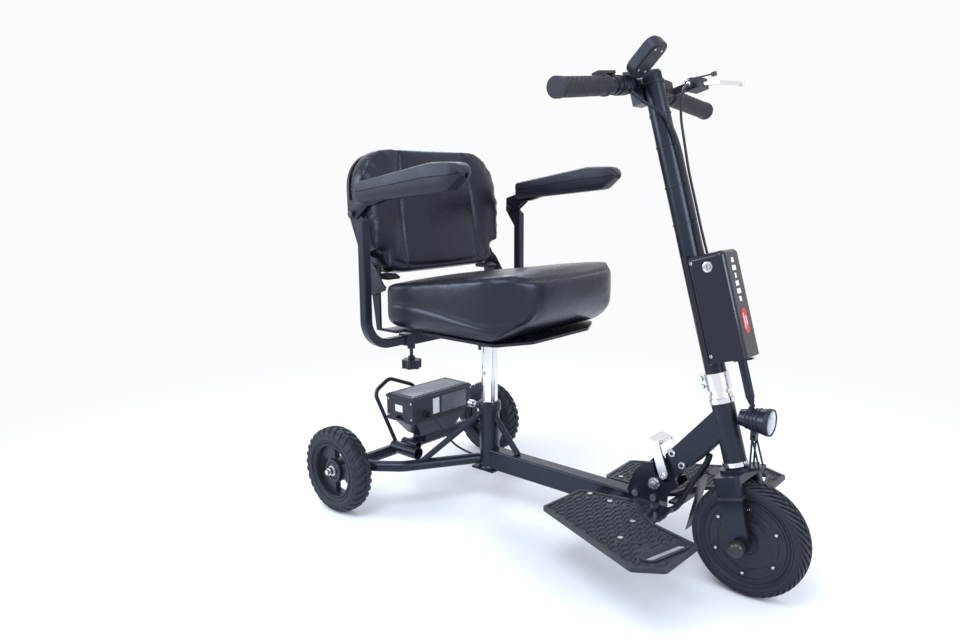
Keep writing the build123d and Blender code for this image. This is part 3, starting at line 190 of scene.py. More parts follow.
surface("frame_paint", (0.007, 0.0085, 0.0145), (0.011, 0.013, 0.021), 0.27, 0.05,
        grain=(1400, 0.16), blotch=9)
surface("footrest_plastic", (0.014, 0.0148, 0.02), (0.023, 0.024, 0.031), 0.4, 0.07,
        grain=(1600, 0.5), cells=True)
surface("zinc", (0.62, 0.64, 0.68), (0.42, 0.43, 0.46), 0.26, 0.08, grain=(1200, 0.2), metallic=1,
        blotch=160)
surface("chrome", (0.83, 0.85, 0.9), (0.72, 0.75, 0.82), 0.09, 0.04, grain=(500, 0.03), metallic=1,
        blotch=30)
surface("polished", (0.86, 0.86, 0.88), (0.7, 0.71, 0.74), 0.22, 0.07, grain=(700, 0.25),
        metallic=1, stretch=(1, 6, 1), blotch=40)
surface("black_steel", (0.02, 0.02, 0.024), (0.045, 0.045, 0.05), 0.36, 0.07,
        grain=(1200, 0.25), metallic=0.5, blotch=60)
surface("tyre", (0.0105, 0.011, 0.015), (0.02, 0.0205, 0.026), 0.56, 0.08, grain=(1300, 0.4),
        blotch=26)
surface("hub_paint", (0.012, 0.0125, 0.0165), (0.018, 0.0185, 0.024), 0.42, 0.05,
        grain=(1500, 0.3), blotch=30)
creased(surface("vinyl", (0.0078, 0.0085, 0.0135), (0.013, 0.014, 0.021), 0.29, 0.05,
        grain=(620, 0.3), cells=True, blotch=11))
surface("black_plastic", (0.0095, 0.0105, 0.015), (0.016, 0.017, 0.023), 0.42, 0.07,
        grain=(1500, 0.35), cells=True, blotch=20)
surface("gloss_black", (0.006, 0.0065, 0.01), (0.009, 0.0098, 0.0145), 0.17, 0.04,
        grain=(420, 0.03), coat=0.2)
surface("battery_case", (0.018, 0.019, 0.024), (0.028, 0.029, 0.036), 0.46, 0.06,
        grain=(1700, 0.5), cells=True)
surface("grip_rubber", (0.011, 0.011, 0.014), (0.02, 0.02, 0.024), 0.5, 0.08,
        grain=(1500, 0.4), blotch=40)
surface("cable_jacket", (0.01, 0.01, 0.013), (0.016, 0.016, 0.019), 0.38, 0.06,
        grain=(1400, 0.15), blotch=40)
surface("key_metal", (0.6, 0.61, 0.64), (0.4, 0.41, 0.44), 0.25, 0.06, grain=(1000, 0.2),
        metallic=1, blotch=120)
clear(surface("lens", (0.93, 0.96, 1.0), (0.88, 0.92, 0.98), 0.06, 0.03, grain=(260, 0.25)))
surface("label_white", (0.72, 0.74, 0.78), (0.62, 0.64, 0.69), 0.42, 0.05, grain=(900, 0.1),
        blotch=60)
surface("label_grey", (0.09, 0.096, 0.115), (0.13, 0.137, 0.16), 0.3, 0.05, grain=(900, 0.1),
        blotch=60)
surface("label_red", (0.55, 0.02, 0.025), (0.42, 0.015, 0.02), 0.3, 0.05, grain=(700, 0.05),
        blotch=60)
surface("thread", (0.02, 0.021, 0.027), (0.035, 0.036, 0.043), 0.6, 0.06, grain=(2500, 0.5))


def dress_nodes():
    """Gives every carried-over CAD node the finish of its material slot."""
    for part in frame["record"]["subparts"]:
        mesh = NODES[part["node"]].data
        mesh.materials.clear()
        mesh.materials.append(FINISH[part["material_slot"]])


def soften_edges(names, width):
    """Rounds the sharp edges of CAD nodes a little, so that they catch the light."""
    for name in names:
        bevel = NODES[name].modifiers.new("edge", "BEVEL")
        bevel.width = width * MM
        bevel.segments = 2
        bevel.limit_method = "ANGLE"
        bevel.angle_limit = radians(40)
        bevel.harden_normals = False


# --- mesh building ---


def piece(name, bm, at, body, finish, sharp=38):
    """Turns a mesh in millimetres into an object in the row frame that rides on a body."""
    bm.transform(at)
    bmesh.ops.remove_doubles(bm, verts=bm.verts, dist=1e-7)
    bmesh.ops.recalc_face_normals(bm, faces=bm.faces)
    for face in bm.faces:
        face.smooth = True
    for edge in bm.edges:
        edge.smooth = len(edge.link_faces) == 2 and edge.calc_face_angle(0) < radians(sharp)
    mesh = bpy.data.meshes.new(name)
    bm.to_mesh(mesh)
    bm.free()
    return add(name, mesh, body, finish)


def add(name, mesh, body, finish):
    """Links a finished mesh as a piece."""
    obj = bpy.data.objects.new(name, mesh)
    bpy.context.scene.collection.objects.link(obj)
    mesh.materials.clear()
    mesh.materials.append(FINISH[finish])
    if body:
        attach(obj, body)
    return obj


def merge(bm, part, at):
    """Moves one mesh into another."""
    part.transform(at)
    mesh = bpy.data.meshes.new("part")
    part.to_mesh(mesh)
    part.free()
    bm.from_mesh(mesh)
    bpy.data.meshes.remove(mesh)


def loft(bm, rows, at=Matrix(), closed=False):
    """Joins rows of points with faces; an open run of rows gets end caps."""
    rings = [[bm.verts.new(at @ Vector(point)) for point in row] for row in rows]
    pairs = list(zip(rings, rings[1:]))
    if closed:
        pairs.append((rings[-1], rings[0]))
    for first, second in pairs:
        for index in range(len(first)):
            after = (index + 1) % len(first)
            bm.faces.new((first[index], first[after], second[after], second[index]))
    if not closed:
        bm.faces.new(rings[0][::-1])
        bm.faces.new(rings[-1])


def turned(bm, profile, at=Matrix(), steps=32):
    """A solid turned about Z from (radius, height) points, with flat ends."""
    rows = []
    for radius, height in profile:
        rows.append([(radius * cos(tau * k / steps), radius * sin(tau * k / steps), height)
                for k in range(steps)])
    loft(bm, rows, at)


def lathe(bm, loop, at=Matrix(), steps=96):
    """A ring turned about Z from a closed loop of (radius, height) points."""
    rows = []
    for k in range(steps):
        turn = tau * k / steps
        rows.append([(radius * cos(turn), radius * sin(turn), height) for radius, height in loop])
    loft(bm, rows, at, closed=True)


def prism(bm, outline, low, high, at=Matrix(), bevel=0.8):
    """A plate with bevelled edges, from its (x, y) outline."""
    part = bmesh.new()
    rows = [[(x, y, level) for x, y in outline] for level in (low, high)]
    loft(part, rows)
    if bevel:
        bmesh.ops.bevel(part, geom=part.edges[:], offset=bevel, segments=2, profile=0.6, affect="EDGES",
                clamp_overlap=True)
    merge(bm, part, at)


def slab(bm, x_range, y_range, z_range, at=Matrix(), bevel=0.8):
    """A box with bevelled edges."""
    (x0, x1), (y0, y1) = x_range, y_range
    prism(bm, [(x0, y0), (x1, y0), (x1, y1), (x0, y1)], *z_range, at=at, bevel=bevel)


def pointing(point, direction):
    """Local frame at a point, with Z along a direction."""
    turn = Z.rotation_difference(Vector(direction)).to_matrix().to_4x4()
    return Matrix.Translation(point) @ turn


def flowing(points, steps=6):
    """Points of a smooth line through the given points."""
    points = [Vector(point) for point in points]
    ends = [points[0] * 2 - points[1], *points, points[-1] * 2 - points[-2]]
    line = []
    for a, b, c, d in zip(ends, ends[1:], ends[2:], ends[3:]):
        for step in range(steps):
            t = step / steps
            line.append(0.5 * ((2 * b) + (c - a) * t + (2 * a - 5 * b + 4 * c - d) * t**2
                    + (3 * b - a - 3 * c + d) * t**3))
    return [*line, points[-1]]


def strand(bm, line, radius, sides=8):
    """A round bar along a line of points."""
    rows, across = [], None
    for index, here in enumerate(line):
        ahead = line[min(index + 1, len(line) - 1)]
        behind = line[max(index - 1, 0)]
        along = (ahead - behind).normalized()
        if across is None:
            across = along.orthogonal().normalized()
        across = (across - along * across.dot(along)).normalized()
        other = along.cross(across)
        rows.append([here + radius * (across * cos(tau * k / sides) + other * sin(tau * k / sides))
                for k in range(sides)])
    loft(bm, rows)


def screw_head(bm, point, direction, radius, height=None):
    """A round screw head with a socket in it."""
    tall = height or radius * 0.7
    turned(bm, [(radius, -0.2), (radius, tall * 0.6), (radius * 0.82, tall), (radius * 0.5, tall),
            (radius * 0.44, tall * 0.4)], pointing(point, direction), 20)


def bar_lead(name, points, radius, at, body):
    """A cable through its route, as a smooth curve made into a mesh."""
    curve = bpy.data.curves.new(name, "CURVE")
    curve.dimensions = "3D"
    spline = curve.splines.new("NURBS")
    spline.points.add(len(points) - 1)
    for slot, point in zip(spline.points, points):
        slot.co = (*(at @ Vector(point)), 1)
    spline.order_u = 3
    spline.use_endpoint_u = True
    curve.bevel_depth = radius * MM
    curve.bevel_resolution = 4
    curve.resolution_u = 12
    curve.use_fill_caps = True
    carrier = bpy.data.objects.new(name + "_line", curve)
    bpy.context.scene.collection.objects.link(carrier)
    mesh = bpy.data.meshes.new_from_object(carrier)
    bpy.data.objects.remove(carrier)
    for polygon in mesh.polygons:
        polygon.use_smooth = True
    mesh.name = name
    return add(name, mesh, body, "cable_jacket")


# --- wheels ---


def tread_line(radius, bead, half):
    """Half of a tyre's section from the middle of the tread to the bead, as (radius, height)."""
    wall = radius - bead
    points = [(radius - 3, 0), (radius - 3.4, half * 0.32), (radius - 5.2, half * 0.62),
            (radius - 9.5, half * 0.86), (radius - 15, half * 0.975), (bead + wall * 0.35, half * 0.985),
            (bead + 4, half * 0.87), (bead + 0.6, half * 0.76)]
    return [(point.x, point.y) for point in flowing([(*point, 0) for point in points], 5)]


def along_line(line, distance):
    """Point and outward normal at a distance along a section line."""
    for (r0, y0), (r1, y1) in zip(line, line[1:]):
        length = hypot(r1 - r0, y1 - y0)
        if distance <= length:
            share = distance / length
            return r0 + (r1 - r0) * share, y0 + (y1 - y0) * share, (y1 - y0) / length, (r0 - r1) / length
        distance -= length
    return r1, y1, (y1 - y0) / length, (r0 - r1) / length


def lug(bm, line, reach, turn, sweep, width, height, side, curl=1.0):
    """One tread block that runs from the middle of the tread out over the shoulder."""
    rows, steps = [], 9
    for step in range(steps + 1):
        share = step / steps
        r, y, out_r, out_y = along_line(line, reach[0] + (reach[1] - reach[0]) * share)
        centre = turn + sweep * share**curl
        rise = height * (1 - 0.75 * max(0, share - 0.75) / 0.25)
        row = []
        for lean, lift in ((-0.5, -0.8), (-0.4, rise), (0.4, rise), (0.5, -0.8)):
            angle = centre + lean * width / r
            rr, yy = r + out_r * lift, y + out_y * lift
            row.append((rr * cos(angle), rr * sin(angle), side * yy))
        rows.append(row if side > 0 else row[::-1])
    loft(bm, rows)


def build_tyre(name, node, body, at, radius, bead, half, blocks):
    """A tyre with its carcass, sidewall rings and tread blocks."""
    bm = bmesh.new()
    line = tread_line(radius, bead, half)
    loop = line + [(bead, half * 0.7), (bead, -half * 0.7)]
    loop += [(r, -y) for r, y in reversed(line)][:-1]
    lathe(bm, loop, steps=128)
    for side in (-1, 1):
        for r, wide in ((bead + (radius - bead) * 0.52, 1.0), (bead + 7, 1.4)):
            y = side * half * 0.985
            low, high = y - side * 1.2, y + side * 0.5
            lathe(bm, [(r - wide, low), (r - wide * 0.6, high), (r + wide * 0.6, high), (r + wide, low)])
    blocks(bm, line)
    made = piece(name, bm, at, body, "tyre")
    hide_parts(node)


def chevrons(bm, line):
    """Rear tread: two rows of angled blocks that meet in the middle."""
    count = 30
    for index in range(count):
        turn = tau * index / count
        for side in (-1, 1):
            offset = 0 if side > 0 else pi / count
            lug(bm, line, (1.0, 27.5), turn + offset, 0.17, 11.5, 3.0, side)
            lug(bm, line, (29.5, 33.5), turn + offset + 0.19, 0.015, 9, 1.0, side)


def sweeps(bm, line):
    """Front tread: long curved blocks, closely set."""
    count = 44
    for index in range(count):
        turn = tau * index / count
        for side in (-1, 1):
            offset = 0 if side > 0 else pi / count
            lug(bm, line, (1.2, 25.0), turn + offset, -0.34, 9.6, 3.0, side, curl=1.6)


def build_wheels():
    """All three tyres and the trim on their hubs."""
    for _, word in SIDES:
        at = wheel_place(f"rear_wheel_{word}_spin")
        body = f"rear_wheel_{word}"
        build_tyre(f"rear_tread_{word}", f"rear_tyre_{word}", body, at, 100, 64, 25, chevrons)
        bm = bmesh.new()
        for face in (-1, 1):
            lathe(bm, [(60.5, face * 18.6), (61, face * 20.2), (63.4, face * 20.2), (63.8, face * 18.6)])
            lathe(bm, [(20, face * 15), (20.5, face * 16.6), (26, face * 16.2), (27.5, face * 7)], steps=64)
        piece(f"rear_rim_trim_{word}", bm, at, body, "hub_paint")
    at = wheel_place("front_wheel_spin")
    build_tyre("front_tread", "front_tyre", "front_wheel", at, 107.8, 79, 25, sweeps)
    build_hub_trim(at)


def arc_plate(bm, inner, outer, start, end, low, high, bevel=0.5):
    """A curved raised segment between two radii and two angles."""
    steps = max(3, ceil((end - start) / radians(6)))
    angles = [start + (end - start) * k / steps for k in range(steps + 1)]
    outline = [(outer * cos(a), outer * sin(a)) for a in angles]
    outline += [(inner * cos(a), inner * sin(a)) for a in reversed(angles)]
    prism(bm, outline, min(low, high), max(low, high), bevel=bevel)


HUB_SCREWS = 6
HUB_TURN = radians(-28)


def build_hub_trim(at):
    """Raised rings and bright screws on both hub covers."""
    bm, screws = bmesh.new(), bmesh.new()
    for face in (-1, 1):
        lathe(bm, [(69.5, face * 18.6), (70.2, face * 20.4), (74.2, face * 20.4), (75, face * 18.6)])
        lathe(bm, [(24, face * 18.6), (25, face * 20.6), (38, face * 20), (40, face * 18.6)], steps=64)
        for index in range(HUB_SCREWS):
            turn = HUB_TURN + tau * index / HUB_SCREWS
            middle = turn + pi / HUB_SCREWS
            arc_plate(bm, 52, 60, middle - radians(21), middle + radians(21), face * 18.6, face * 20.1)
            spot = (62 * cos(turn), 62 * sin(turn), face * 19)
            turned(bm, [(7, -0.5), (7, 1), (5.2, 1.6), (5, 0.6)], pointing(spot, (0, 0, face)), 24)
            screw_head(screws, (spot[0], spot[1], face * 20.1), (0, 0, face), 3.4, 2.0)
    piece("hub_cover_trim", bm, at, "front_wheel", "hub_paint")
    piece("hub_screws", screws, at, "front_wheel", "zinc")


# --- upholstery ---


def applied(obj):
    """The object's mesh with its modifiers worked in."""
    bpy.context.view_layer.update()
    graph = bpy.context.evaluated_depsgraph_get()
    mesh = bpy.data.meshes.new_from_object(obj.evaluated_get(graph))
    obj.modifiers.clear()
    obj.data = mesh


COVER_CELL = 5.5
COVER_SWELL = 9
CLOTH_PRESSURE, CLOTH_FRAMES = 4, 20
SEAM_DEPTH, SEAM_REACH = 2.6, 5.0


def soft_body(node, name, rounds, shrink):
    """A rounded copy of a plain soft solid, ready to be filled out."""
    obj = bpy.data.objects.new(name, NODES[node].data.copy())
    bpy.context.scene.collection.objects.link(obj)
    remesh = obj.modifiers.new("cells", "REMESH")
    remesh.mode = "VOXEL"
    remesh.voxel_size = COVER_CELL * MM
    smooth = obj.modifiers.new("round", "SMOOTH")
    smooth.factor = 0.5
    smooth.iterations = rounds
    drawn_in = obj.modifiers.new("drawn_in", "DISPLACE")
    drawn_in.mid_level = 0
    drawn_in.strength = -shrink * MM
    applied(obj)
    return obj


def seam_tree(lines):
    """Search tree over seam points."""
    points = [point for line in lines for point in line]
    tree = KDTree(len(points))
    for index, point in enumerate(points):
        tree.insert(point, index)
    tree.balance()
    return tree


def inflate(obj, tree, hold):
    """Fills the cover out with cloth pressure, held along its seams, each point within a limit."""
    start = [vertex.co.copy() for vertex in obj.data.vertices]
    group = obj.vertex_groups.new(name="held")
    for vertex in obj.data.vertices:
        near = tree.find(vertex.co)[2] < 5 * MM
        if near or hold(vertex.co):
            group.add([vertex.index], 1.0, "REPLACE")
    cloth = obj.modifiers.new("cover", "CLOTH")
    cloth.settings.use_pressure = True
    cloth.settings.uniform_pressure_force = CLOTH_PRESSURE
    cloth.settings.effector_weights.gravity = 0
    cloth.settings.vertex_group_mass = "held"
    scene = bpy.context.scene
    for number in range(1, CLOTH_FRAMES + 1):
        scene.frame_set(number)
    applied(obj)
    for vertex, before in zip(obj.data.vertices, start):
        moved = vertex.co - before
        if moved.length > COVER_SWELL * MM:
            vertex.co = before + moved.normalized() * COVER_SWELL * MM
    scene.frame_set(1)


def refine(obj):
    """One subdivision, and smooth shading."""
    smooth = obj.modifiers.new("even", "SMOOTH")
    smooth.factor = 0.5
    smooth.iterations = 3
    divide = obj.modifiers.new("fine", "SUBSURF")
    divide.levels = divide.render_levels = 1
    applied(obj)
    for polygon in obj.data.polygons:
        polygon.use_smooth = True


def press_seams(obj, tree):
    """Sinks the cover along its seams."""
    obj.data.update()
    normals = [vertex.normal.copy() for vertex in obj.data.vertices]
    for vertex, normal in zip(obj.data.vertices, normals):
        gap = tree.find(vertex.co)[2] / MM
        if gap < SEAM_REACH * 3:
            vertex.co -= normal * SEAM_DEPTH * MM * exp(-((gap / SEAM_REACH) ** 2))
    obj.data.update()


def settled(obj, lines):
    """Seam lines laid on the surface, each point with its normal."""
    surface_tree = BVHTree.FromObject(obj, bpy.context.evaluated_depsgraph_get())
    return [[surface_tree.find_nearest(point)[:2] for point in line] for line in lines]


def stitching(name, obj, lines, body, gauge=4.2, pitch=4.6):
    """Rows of short stitches on both sides of each seam."""
    bm = bmesh.new()
    tree = BVHTree.FromObject(obj, bpy.context.evaluated_depsgraph_get())
    for line in settled(obj, lines):
        spots = even(line, pitch * MM)
        for (here, normal), (ahead, _) in zip(spots, spots[1:]):
            along = (ahead - here).normalized()
            across = normal.cross(along).normalized()
            for side in (-1, 1):
                middle, up = tree.find_nearest(here + across * side * gauge * MM)[:2]
                ends = [middle + along * share * 1.3 * MM + up * 0.15 * MM for share in (-1, 0, 1)]
                strand(bm, ends, 0.38 * MM, sides=5)
    return piece(name, bm, Matrix(), body, "thread")


def even(line, pitch):
    """Points of a line about a pitch apart."""
    chosen = [line[0]]
    for spot in line:
        if (spot[0] - chosen[-1][0]).length >= pitch:
            chosen.append(spot)
    return chosen


def piping(name, obj, lines, body, radius=1.9, sink=0.7):
    """Cord sewn into the seams."""
    bm = bmesh.new()
    for line in settled(obj, lines):
        strand(bm, [here - normal * sink * MM for here, normal in line], radius * MM)
    return piece(name, bm, Matrix(), body, "vinyl", sharp=80)


def seam(points):
    """A seam's line in the row frame, from points given as (distance ahead of the rear axle, y, z)."""
    return flowing([Vector((station(x), y, z)) * MM for x, y, z in points], 14)


def mirrored(line):
    """The same line on the other side of the machine."""
    return [Vector((point.x, -point.y, point.z)) for point in line]


BACK_PIVOT = (70, 560)


def leaned(x, y, z):
    """A point of the upright backrest, tipped back about its pivot as (x, y, z)."""
    (pivot_x, pivot_z), lean = BACK_PIVOT, radians(9)
    dx, dz = x - pivot_x, z - pivot_z
    return pivot_x + dx * cos(lean) - dz * sin(lean), y, pivot_z + dx * sin(lean) + dz * cos(lean)


def upholster(node, name, body, rounds, shrink, seams, cords, hold):
    """One cushion with its cover filled out, seams pressed in, piping and stitches."""
    obj = soft_body(node, name, rounds, shrink)
    first = [[spot for spot, _ in line] for line in settled(obj, seams + cords)]
    inflate(obj, seam_tree(first), hold)
    refine(obj)
    lines = [[spot for spot, _ in line] for line in settled(obj, seams + cords)]
    press_seams(obj, seam_tree(lines))
    obj.data.materials.clear()
    obj.data.materials.append(FINISH["vinyl"])
    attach(obj, body)
    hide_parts(node)
    stitching(name + "_stitches", obj, seams, body)
    piping(name + "_piping", obj, cords, body)


def build_seat():
    """Seat cushion: top panel, deep front panel and a wedge panel low on each side."""
    right = [(106, -194, 534), (200, -200, 546), (300, -202, 558), (390, -199, 567), (432, -188, 569),
            (460, -155, 570), (471, -90, 572)]
    rim = seam(right + [(474, 0, 573)] + [(x, -y, z) for x, y, z in reversed(right)])
    wedge = seam([(98, -206, 489), (150, -207, 493), (205, -207, 492), (260, -207, 487), (310, -207, 480),
            (360, -206, 474), (410, -200, 470), (446, -182, 476)])
    edge = seam([(106, -168, 536), (106, -196, 532), (106, -204, 500), (110, -202, 462)])
    upholster("seat_cushion", "seat_cover", "seat", 26, 3.0, [rim, wedge, mirrored(wedge)],
            [edge, mirrored(edge)], lambda spot: spot.z < 446 * MM)


def build_back():
    """Backrest cushion: a centre panel between two curved seams, and piping round the rim."""
    def across(points, x):
        return seam([leaned(x, y, z) for y, z in points])

    panel = across([(104, 826), (110, 780), (117, 720), (121, 660), (122, 600), (116, 556)], 100)
    low = across([(-150, 575), (-122, 566), (-60, 561), (0, 560), (60, 561), (122, 566), (150, 575)], 100)
    right = [(-128, 548), (-160, 554), (-186, 568), (-205, 592), (-216, 620), (-225, 660), (-231, 700),
            (-227, 750), (-215, 785), (-196, 810), (-167, 828), (-133, 834), (-70, 834)]
    rim = across(right + [(0, 834)] + [(-y, z) for y, z in reversed(right)], 54)
    upholster("back_cushion", "back_cover", "backrest", 22, 2.5, [panel, mirrored(panel), low], [rim],
            lambda spot: spot.x / MM < station(60) - (spot.z / MM - BACK_PIVOT[1]) * 0.158)


ARM_PIVOT = (88, 689)
ARM_Y = 262
PAD_HALF = 26.5


def oblong(half, top, split, bottom):
    """Cross-section of an arm pad: soft upper half, a groove, and a lower half that tapers."""
    deep = split - bottom
    right = [(half * 0.5, top), (half * 0.78, top - 1.2), (half * 0.94, top - 4), (half, top - 9),
            (half, split + 1.0), (half - 1.6, split + 0.3), (half - 1.6, split - 0.5),
            (half * 0.99, split - 1.2), (half * 0.97, bottom + deep * 0.5),
            (half * 0.86, bottom + deep * 0.22), (half * 0.62, bottom)]
    return right + [(-y, z) for y, z in reversed(right)]


def build_arm(side, word):
    """Armrest: its pad, bracket and pivot bolt."""
    body, middle = f"armrest_{word}", side * (ARM_Y + 1)
    bm, rows = bmesh.new(), []
    stations = ((116, 0.8, 0.90), (118, 0.93, 0.97), (124, 0.985, 1), (170, 0.99, 1), (240, 1, 1),
            (310, 1, 1), (332, 1, 1), (360, 1, 1), (382, 0.97, 0.98), (394, 0.9, 0.94),
            (402, 0.8, 0.84), (407, 0.66, 0.62), (410, 0.42, 0.38), (411, 0.16, 0.14))
    for x, narrow, flat in stations:
        top = min(755 + (x - 117) * 35 / 213, 790) - max(0, x - 386) ** 2 * 0.018
        bottom = 712 + (x - 115) * 26 / 271 + max(0, x - 380) ** 2 * 0.02
        centre = (top + bottom) / 2
        top, bottom = centre + (top - centre) * flat, centre + (bottom - centre) * flat
        split = bottom + (top - bottom) * 0.52
        slant = 0.3 * max(0, min(1, (x - 360) / 40))
        rows.append([(station(x) - (top - z) * slant, middle + y, z)
                for y, z in oblong(PAD_HALF * narrow, top, split, bottom)])
    loft(bm, rows)
    pad = piece(f"arm_pad_{word}", bm, ROW, body, "black_plastic", sharp=28)
    build_arm_bracket(side, word, body)


def build_arm_bracket(side, word, body):
    """Bracket under the pad: two cheeks at the pivot that join into one arm."""
    px, pz = ARM_PIVOT
    rear = [(px - 13, pz - 9), (px - 12, pz + 26), (px + 12, pz + 33), (px + 40, pz + 42),
            (px + 60, pz + 42), (px + 46, pz + 16), (px + 28, pz + 2), (px + 12, pz - 10)]
    arm = [(px + 38, pz + 41.6), (200, 737.5), (300, 745.5), (385, 752), (387, 747), (360, 742), (300, 735),
           (250, 730), (px + 128, pz + 36), (px + 92, pz + 28), (px + 66, pz + 20), (px + 48, pz + 18)]
    bm = bmesh.new()
    for low, high in ((-9, -5.4), (5.4, 9)):
        prism(bm, side_view(rear), -side * ARM_Y + low, -side * ARM_Y + high, bevel=0.7)
    prism(bm, side_view(arm), -side * ARM_Y - 9, -side * ARM_Y + 9, bevel=1.0)
    bracket = piece(f"arm_bracket_{word}", bm, SIDE, body, "frame_paint")
    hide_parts(f"armrest_{word}")
    bolts = bmesh.new()
    for face in (-1, 1):
        spot = (station(px), side * ARM_Y + face * 14, pz)
        hexagon = [(6, -1.6), (6, -0.6), (8, -0.5), (8, 1.5), (7.2, 2.4), (4, 2.4)]
        turned(bolts, hexagon, pointing(spot, (0, face, 0)), 6)
        screw_head(bolts, (station(130), side * ARM_Y + face * 9, 716), (0, face, 0), 3.2, 1.6)
    piece(f"arm_bolts_{word}", bolts, ROW, body, "black_steel")


# --- footrests ---

FOOT_OUTLINE = ((0, 168), (8, 48), (160, 30), (176, 44), (186, 90), (216, 114), (320, 150), (318, 262),
        (268, 290))
FOOT_HOLES = ((40, 110), (133, 68), (238, 204))
FOOT_SCREWS = ((94, 71), (198, 204), (40, 60), (180, 130))
SLOT_X, SLOT_Y, SLOT_REACH, SLOT_TURN = 285, 202, 38, radians(105)


def edge_distance(x, y, outline):
    """Distance inside an outline, negative outside."""
    inside, nearest = False, 1e9
    for (ax, ay), (bx, by) in zip(outline, outline[1:] + outline[:1]):
        if (ay > y) != (by > y) and x < (bx - ax) * (y - ay) / (by - ay) + ax:
            inside = not inside
        length = (bx - ax) ** 2 + (by - ay) ** 2
        share = max(0, min(1, ((x - ax) * (bx - ax) + (y - ay) * (by - ay)) / length))
        nearest = min(nearest, hypot(x - ax - share * (bx - ax), y - ay - share * (by - ay)))
    return nearest if inside else -nearest


def slot_distance(x, y):
    """Distance from the hand slot's middle line."""
    dx, dy = x - SLOT_X, y - SLOT_Y
    along = max(-SLOT_REACH, min(SLOT_REACH, dx * cos(SLOT_TURN) + dy * sin(SLOT_TURN)))
    return hypot(dx - along * cos(SLOT_TURN), dy - along * sin(SLOT_TURN))


def free_spot(x, y):
    """Whether a raised scale may stand here."""
    if edge_distance(x, y, FOOT_OUTLINE) < 9.5 or slot_distance(x, y) < 22:
        return False
    clear_holes = all(hypot(x - hx, y - hy) > 9 for hx, hy in FOOT_HOLES)
    return clear_holes and all(hypot(x - hx, y - hy) > 10 for hx, hy in FOOT_SCREWS)


def scale_arc(bm, x, y, side):
    """One raised arc of the fish-scale pattern, with its back towards the rear."""
    row_points = []
    for step in range(11):
        turn = radians(-76 + 152 * step / 10)
        row_points.append((x - 8.6 * cos(turn) + 4.3, y + 13.6 * sin(turn)))
    run = []
    for spot in row_points:
        if free_spot(*spot):
            run.append(spot)
        elif len(run) > 2:
            break
        else:
            run = []
    if len(run) < 4:
        return
    rows = []
    for index, (px, py) in enumerate(run):
        ax, ay = run[max(index - 1, 0)]
        bx, by = run[min(index + 1, len(run) - 1)]
        nx, ny = (by - ay), -(bx - ax)
        size = hypot(nx, ny)
        nx, ny = nx / size, ny / size
        taper = 0.45 if index in (0, len(run) - 1) else 1
        crest = -2 + 2.5 * taper
        section = ((-2.7, -2.4), (-1.5, crest), (1.3, crest), (2.7, -2.4))
        rows.append([(px + nx * w * taper, side * (py + ny * w * taper), z) for w, z in section])
    loft(bm, rows)


def build_footrests():
    """Raised scales, slot rim and bolt bosses on both footrests."""
    for side, word in SIDES:
        bm = bmesh.new()
        for row in range(30):
            for column in range(11):
                shift = 15 if row % 2 else 0
                scale_arc(bm, 8 + row * 11, 30 + column * 30 + shift, side)
        piece(f"footrest_scales_{word}", bm, FOOT, "rear_frame", "footrest_plastic", sharp=50)
        trim = bmesh.new()
        outer, inner = slot_outline(17.0), slot_outline(13.8)
        rows = [[(x, side * y, z) for x, y in ring] for ring, z in
                ((outer, -1.5), (outer, 0.5), (inner, 0.5), (inner, -1.5))]
        loft(trim, rows, closed=True)
        for hx, hy in FOOT_HOLES:
            lathe(trim, [(4.3, -2.4), (4.6, -0.9), (7.4, -0.9), (8.2, -2.4)],
                  Matrix.Translation((hx, side * hy, 0)), steps=32)
        piece(f"footrest_trim_{word}", trim, FOOT, "rear_frame", "footrest_plastic")


def slot_outline(half, steps=12):
    """Outline of a rounded slot round the hand hole."""
    points = []
    for end, base in ((1, 0), (-1, pi)):
        for step in range(steps + 1):
            angle = SLOT_TURN + base - pi / 2 + pi * step / steps
            points.append((SLOT_X + end * SLOT_REACH * cos(SLOT_TURN) + half * cos(angle),
                    SLOT_Y + end * SLOT_REACH * sin(SLOT_TURN) + half * sin(angle)))
    return points


# --- controls ---

BAR_U, BAR_W, BAR_STRAIGHT = -31.5, 972, 34
GRIP_START = 114
DROOP = radians(6.5)


def bar_place(y, side):
    """Frame on one half of the bar, with Z outward along it."""
    w = BAR_W - (y - BAR_STRAIGHT) * tan(DROOP)
    out = Vector((0, side * cos(DROOP), -sin(DROOP)))
    turn = Matrix((X, out.cross(X), out)).transposed().to_4x4()
    return STEER @ Matrix.Translation((BAR_U, side * y, w)) @ turn


def build_grips():
    """Both grips, with a raised diamond pattern between smooth collars."""
    bm = bmesh.new()
    length, around, steps = 154, 72, 110
    for side in (-1, 1):
        rows = []
        for step in range(steps + 1):
            along = length * step / steps
            rows.append([grip_point(along, length, tau * k / around) for k in range(around)])
        part = bmesh.new()
        loft(part, rows)
        merge(bm, part, bar_place(GRIP_START, side))
    grips = piece("grip_covers", bm, Matrix(), "steering", "grip_rubber", sharp=60)
    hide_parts("grips")


def grip_point(along, length, turn):
    """A point of the grip's outside."""
    end = length + 4.5 - along
    if along < 11:
        radius = 18.4 - max(0, 2 - along) * 0.5
    elif end < 15:
        radius = 17.9 - max(0, 3 - end) ** 2 * 0.35
    else:
        first = sin(turn * 5 + (along - 12) * tau / 27)
        second = sin(turn * 5 - (along - 12) * tau / 27)
        groove = min(abs(first), abs(second))
        radius = 16.1 + 1.0 * min(1, groove / 0.34)
    if end < 13 and end > 11.5:
        radius = 16.6
    return radius * cos(turn), radius * sin(turn), along + (4.5 * along / length)


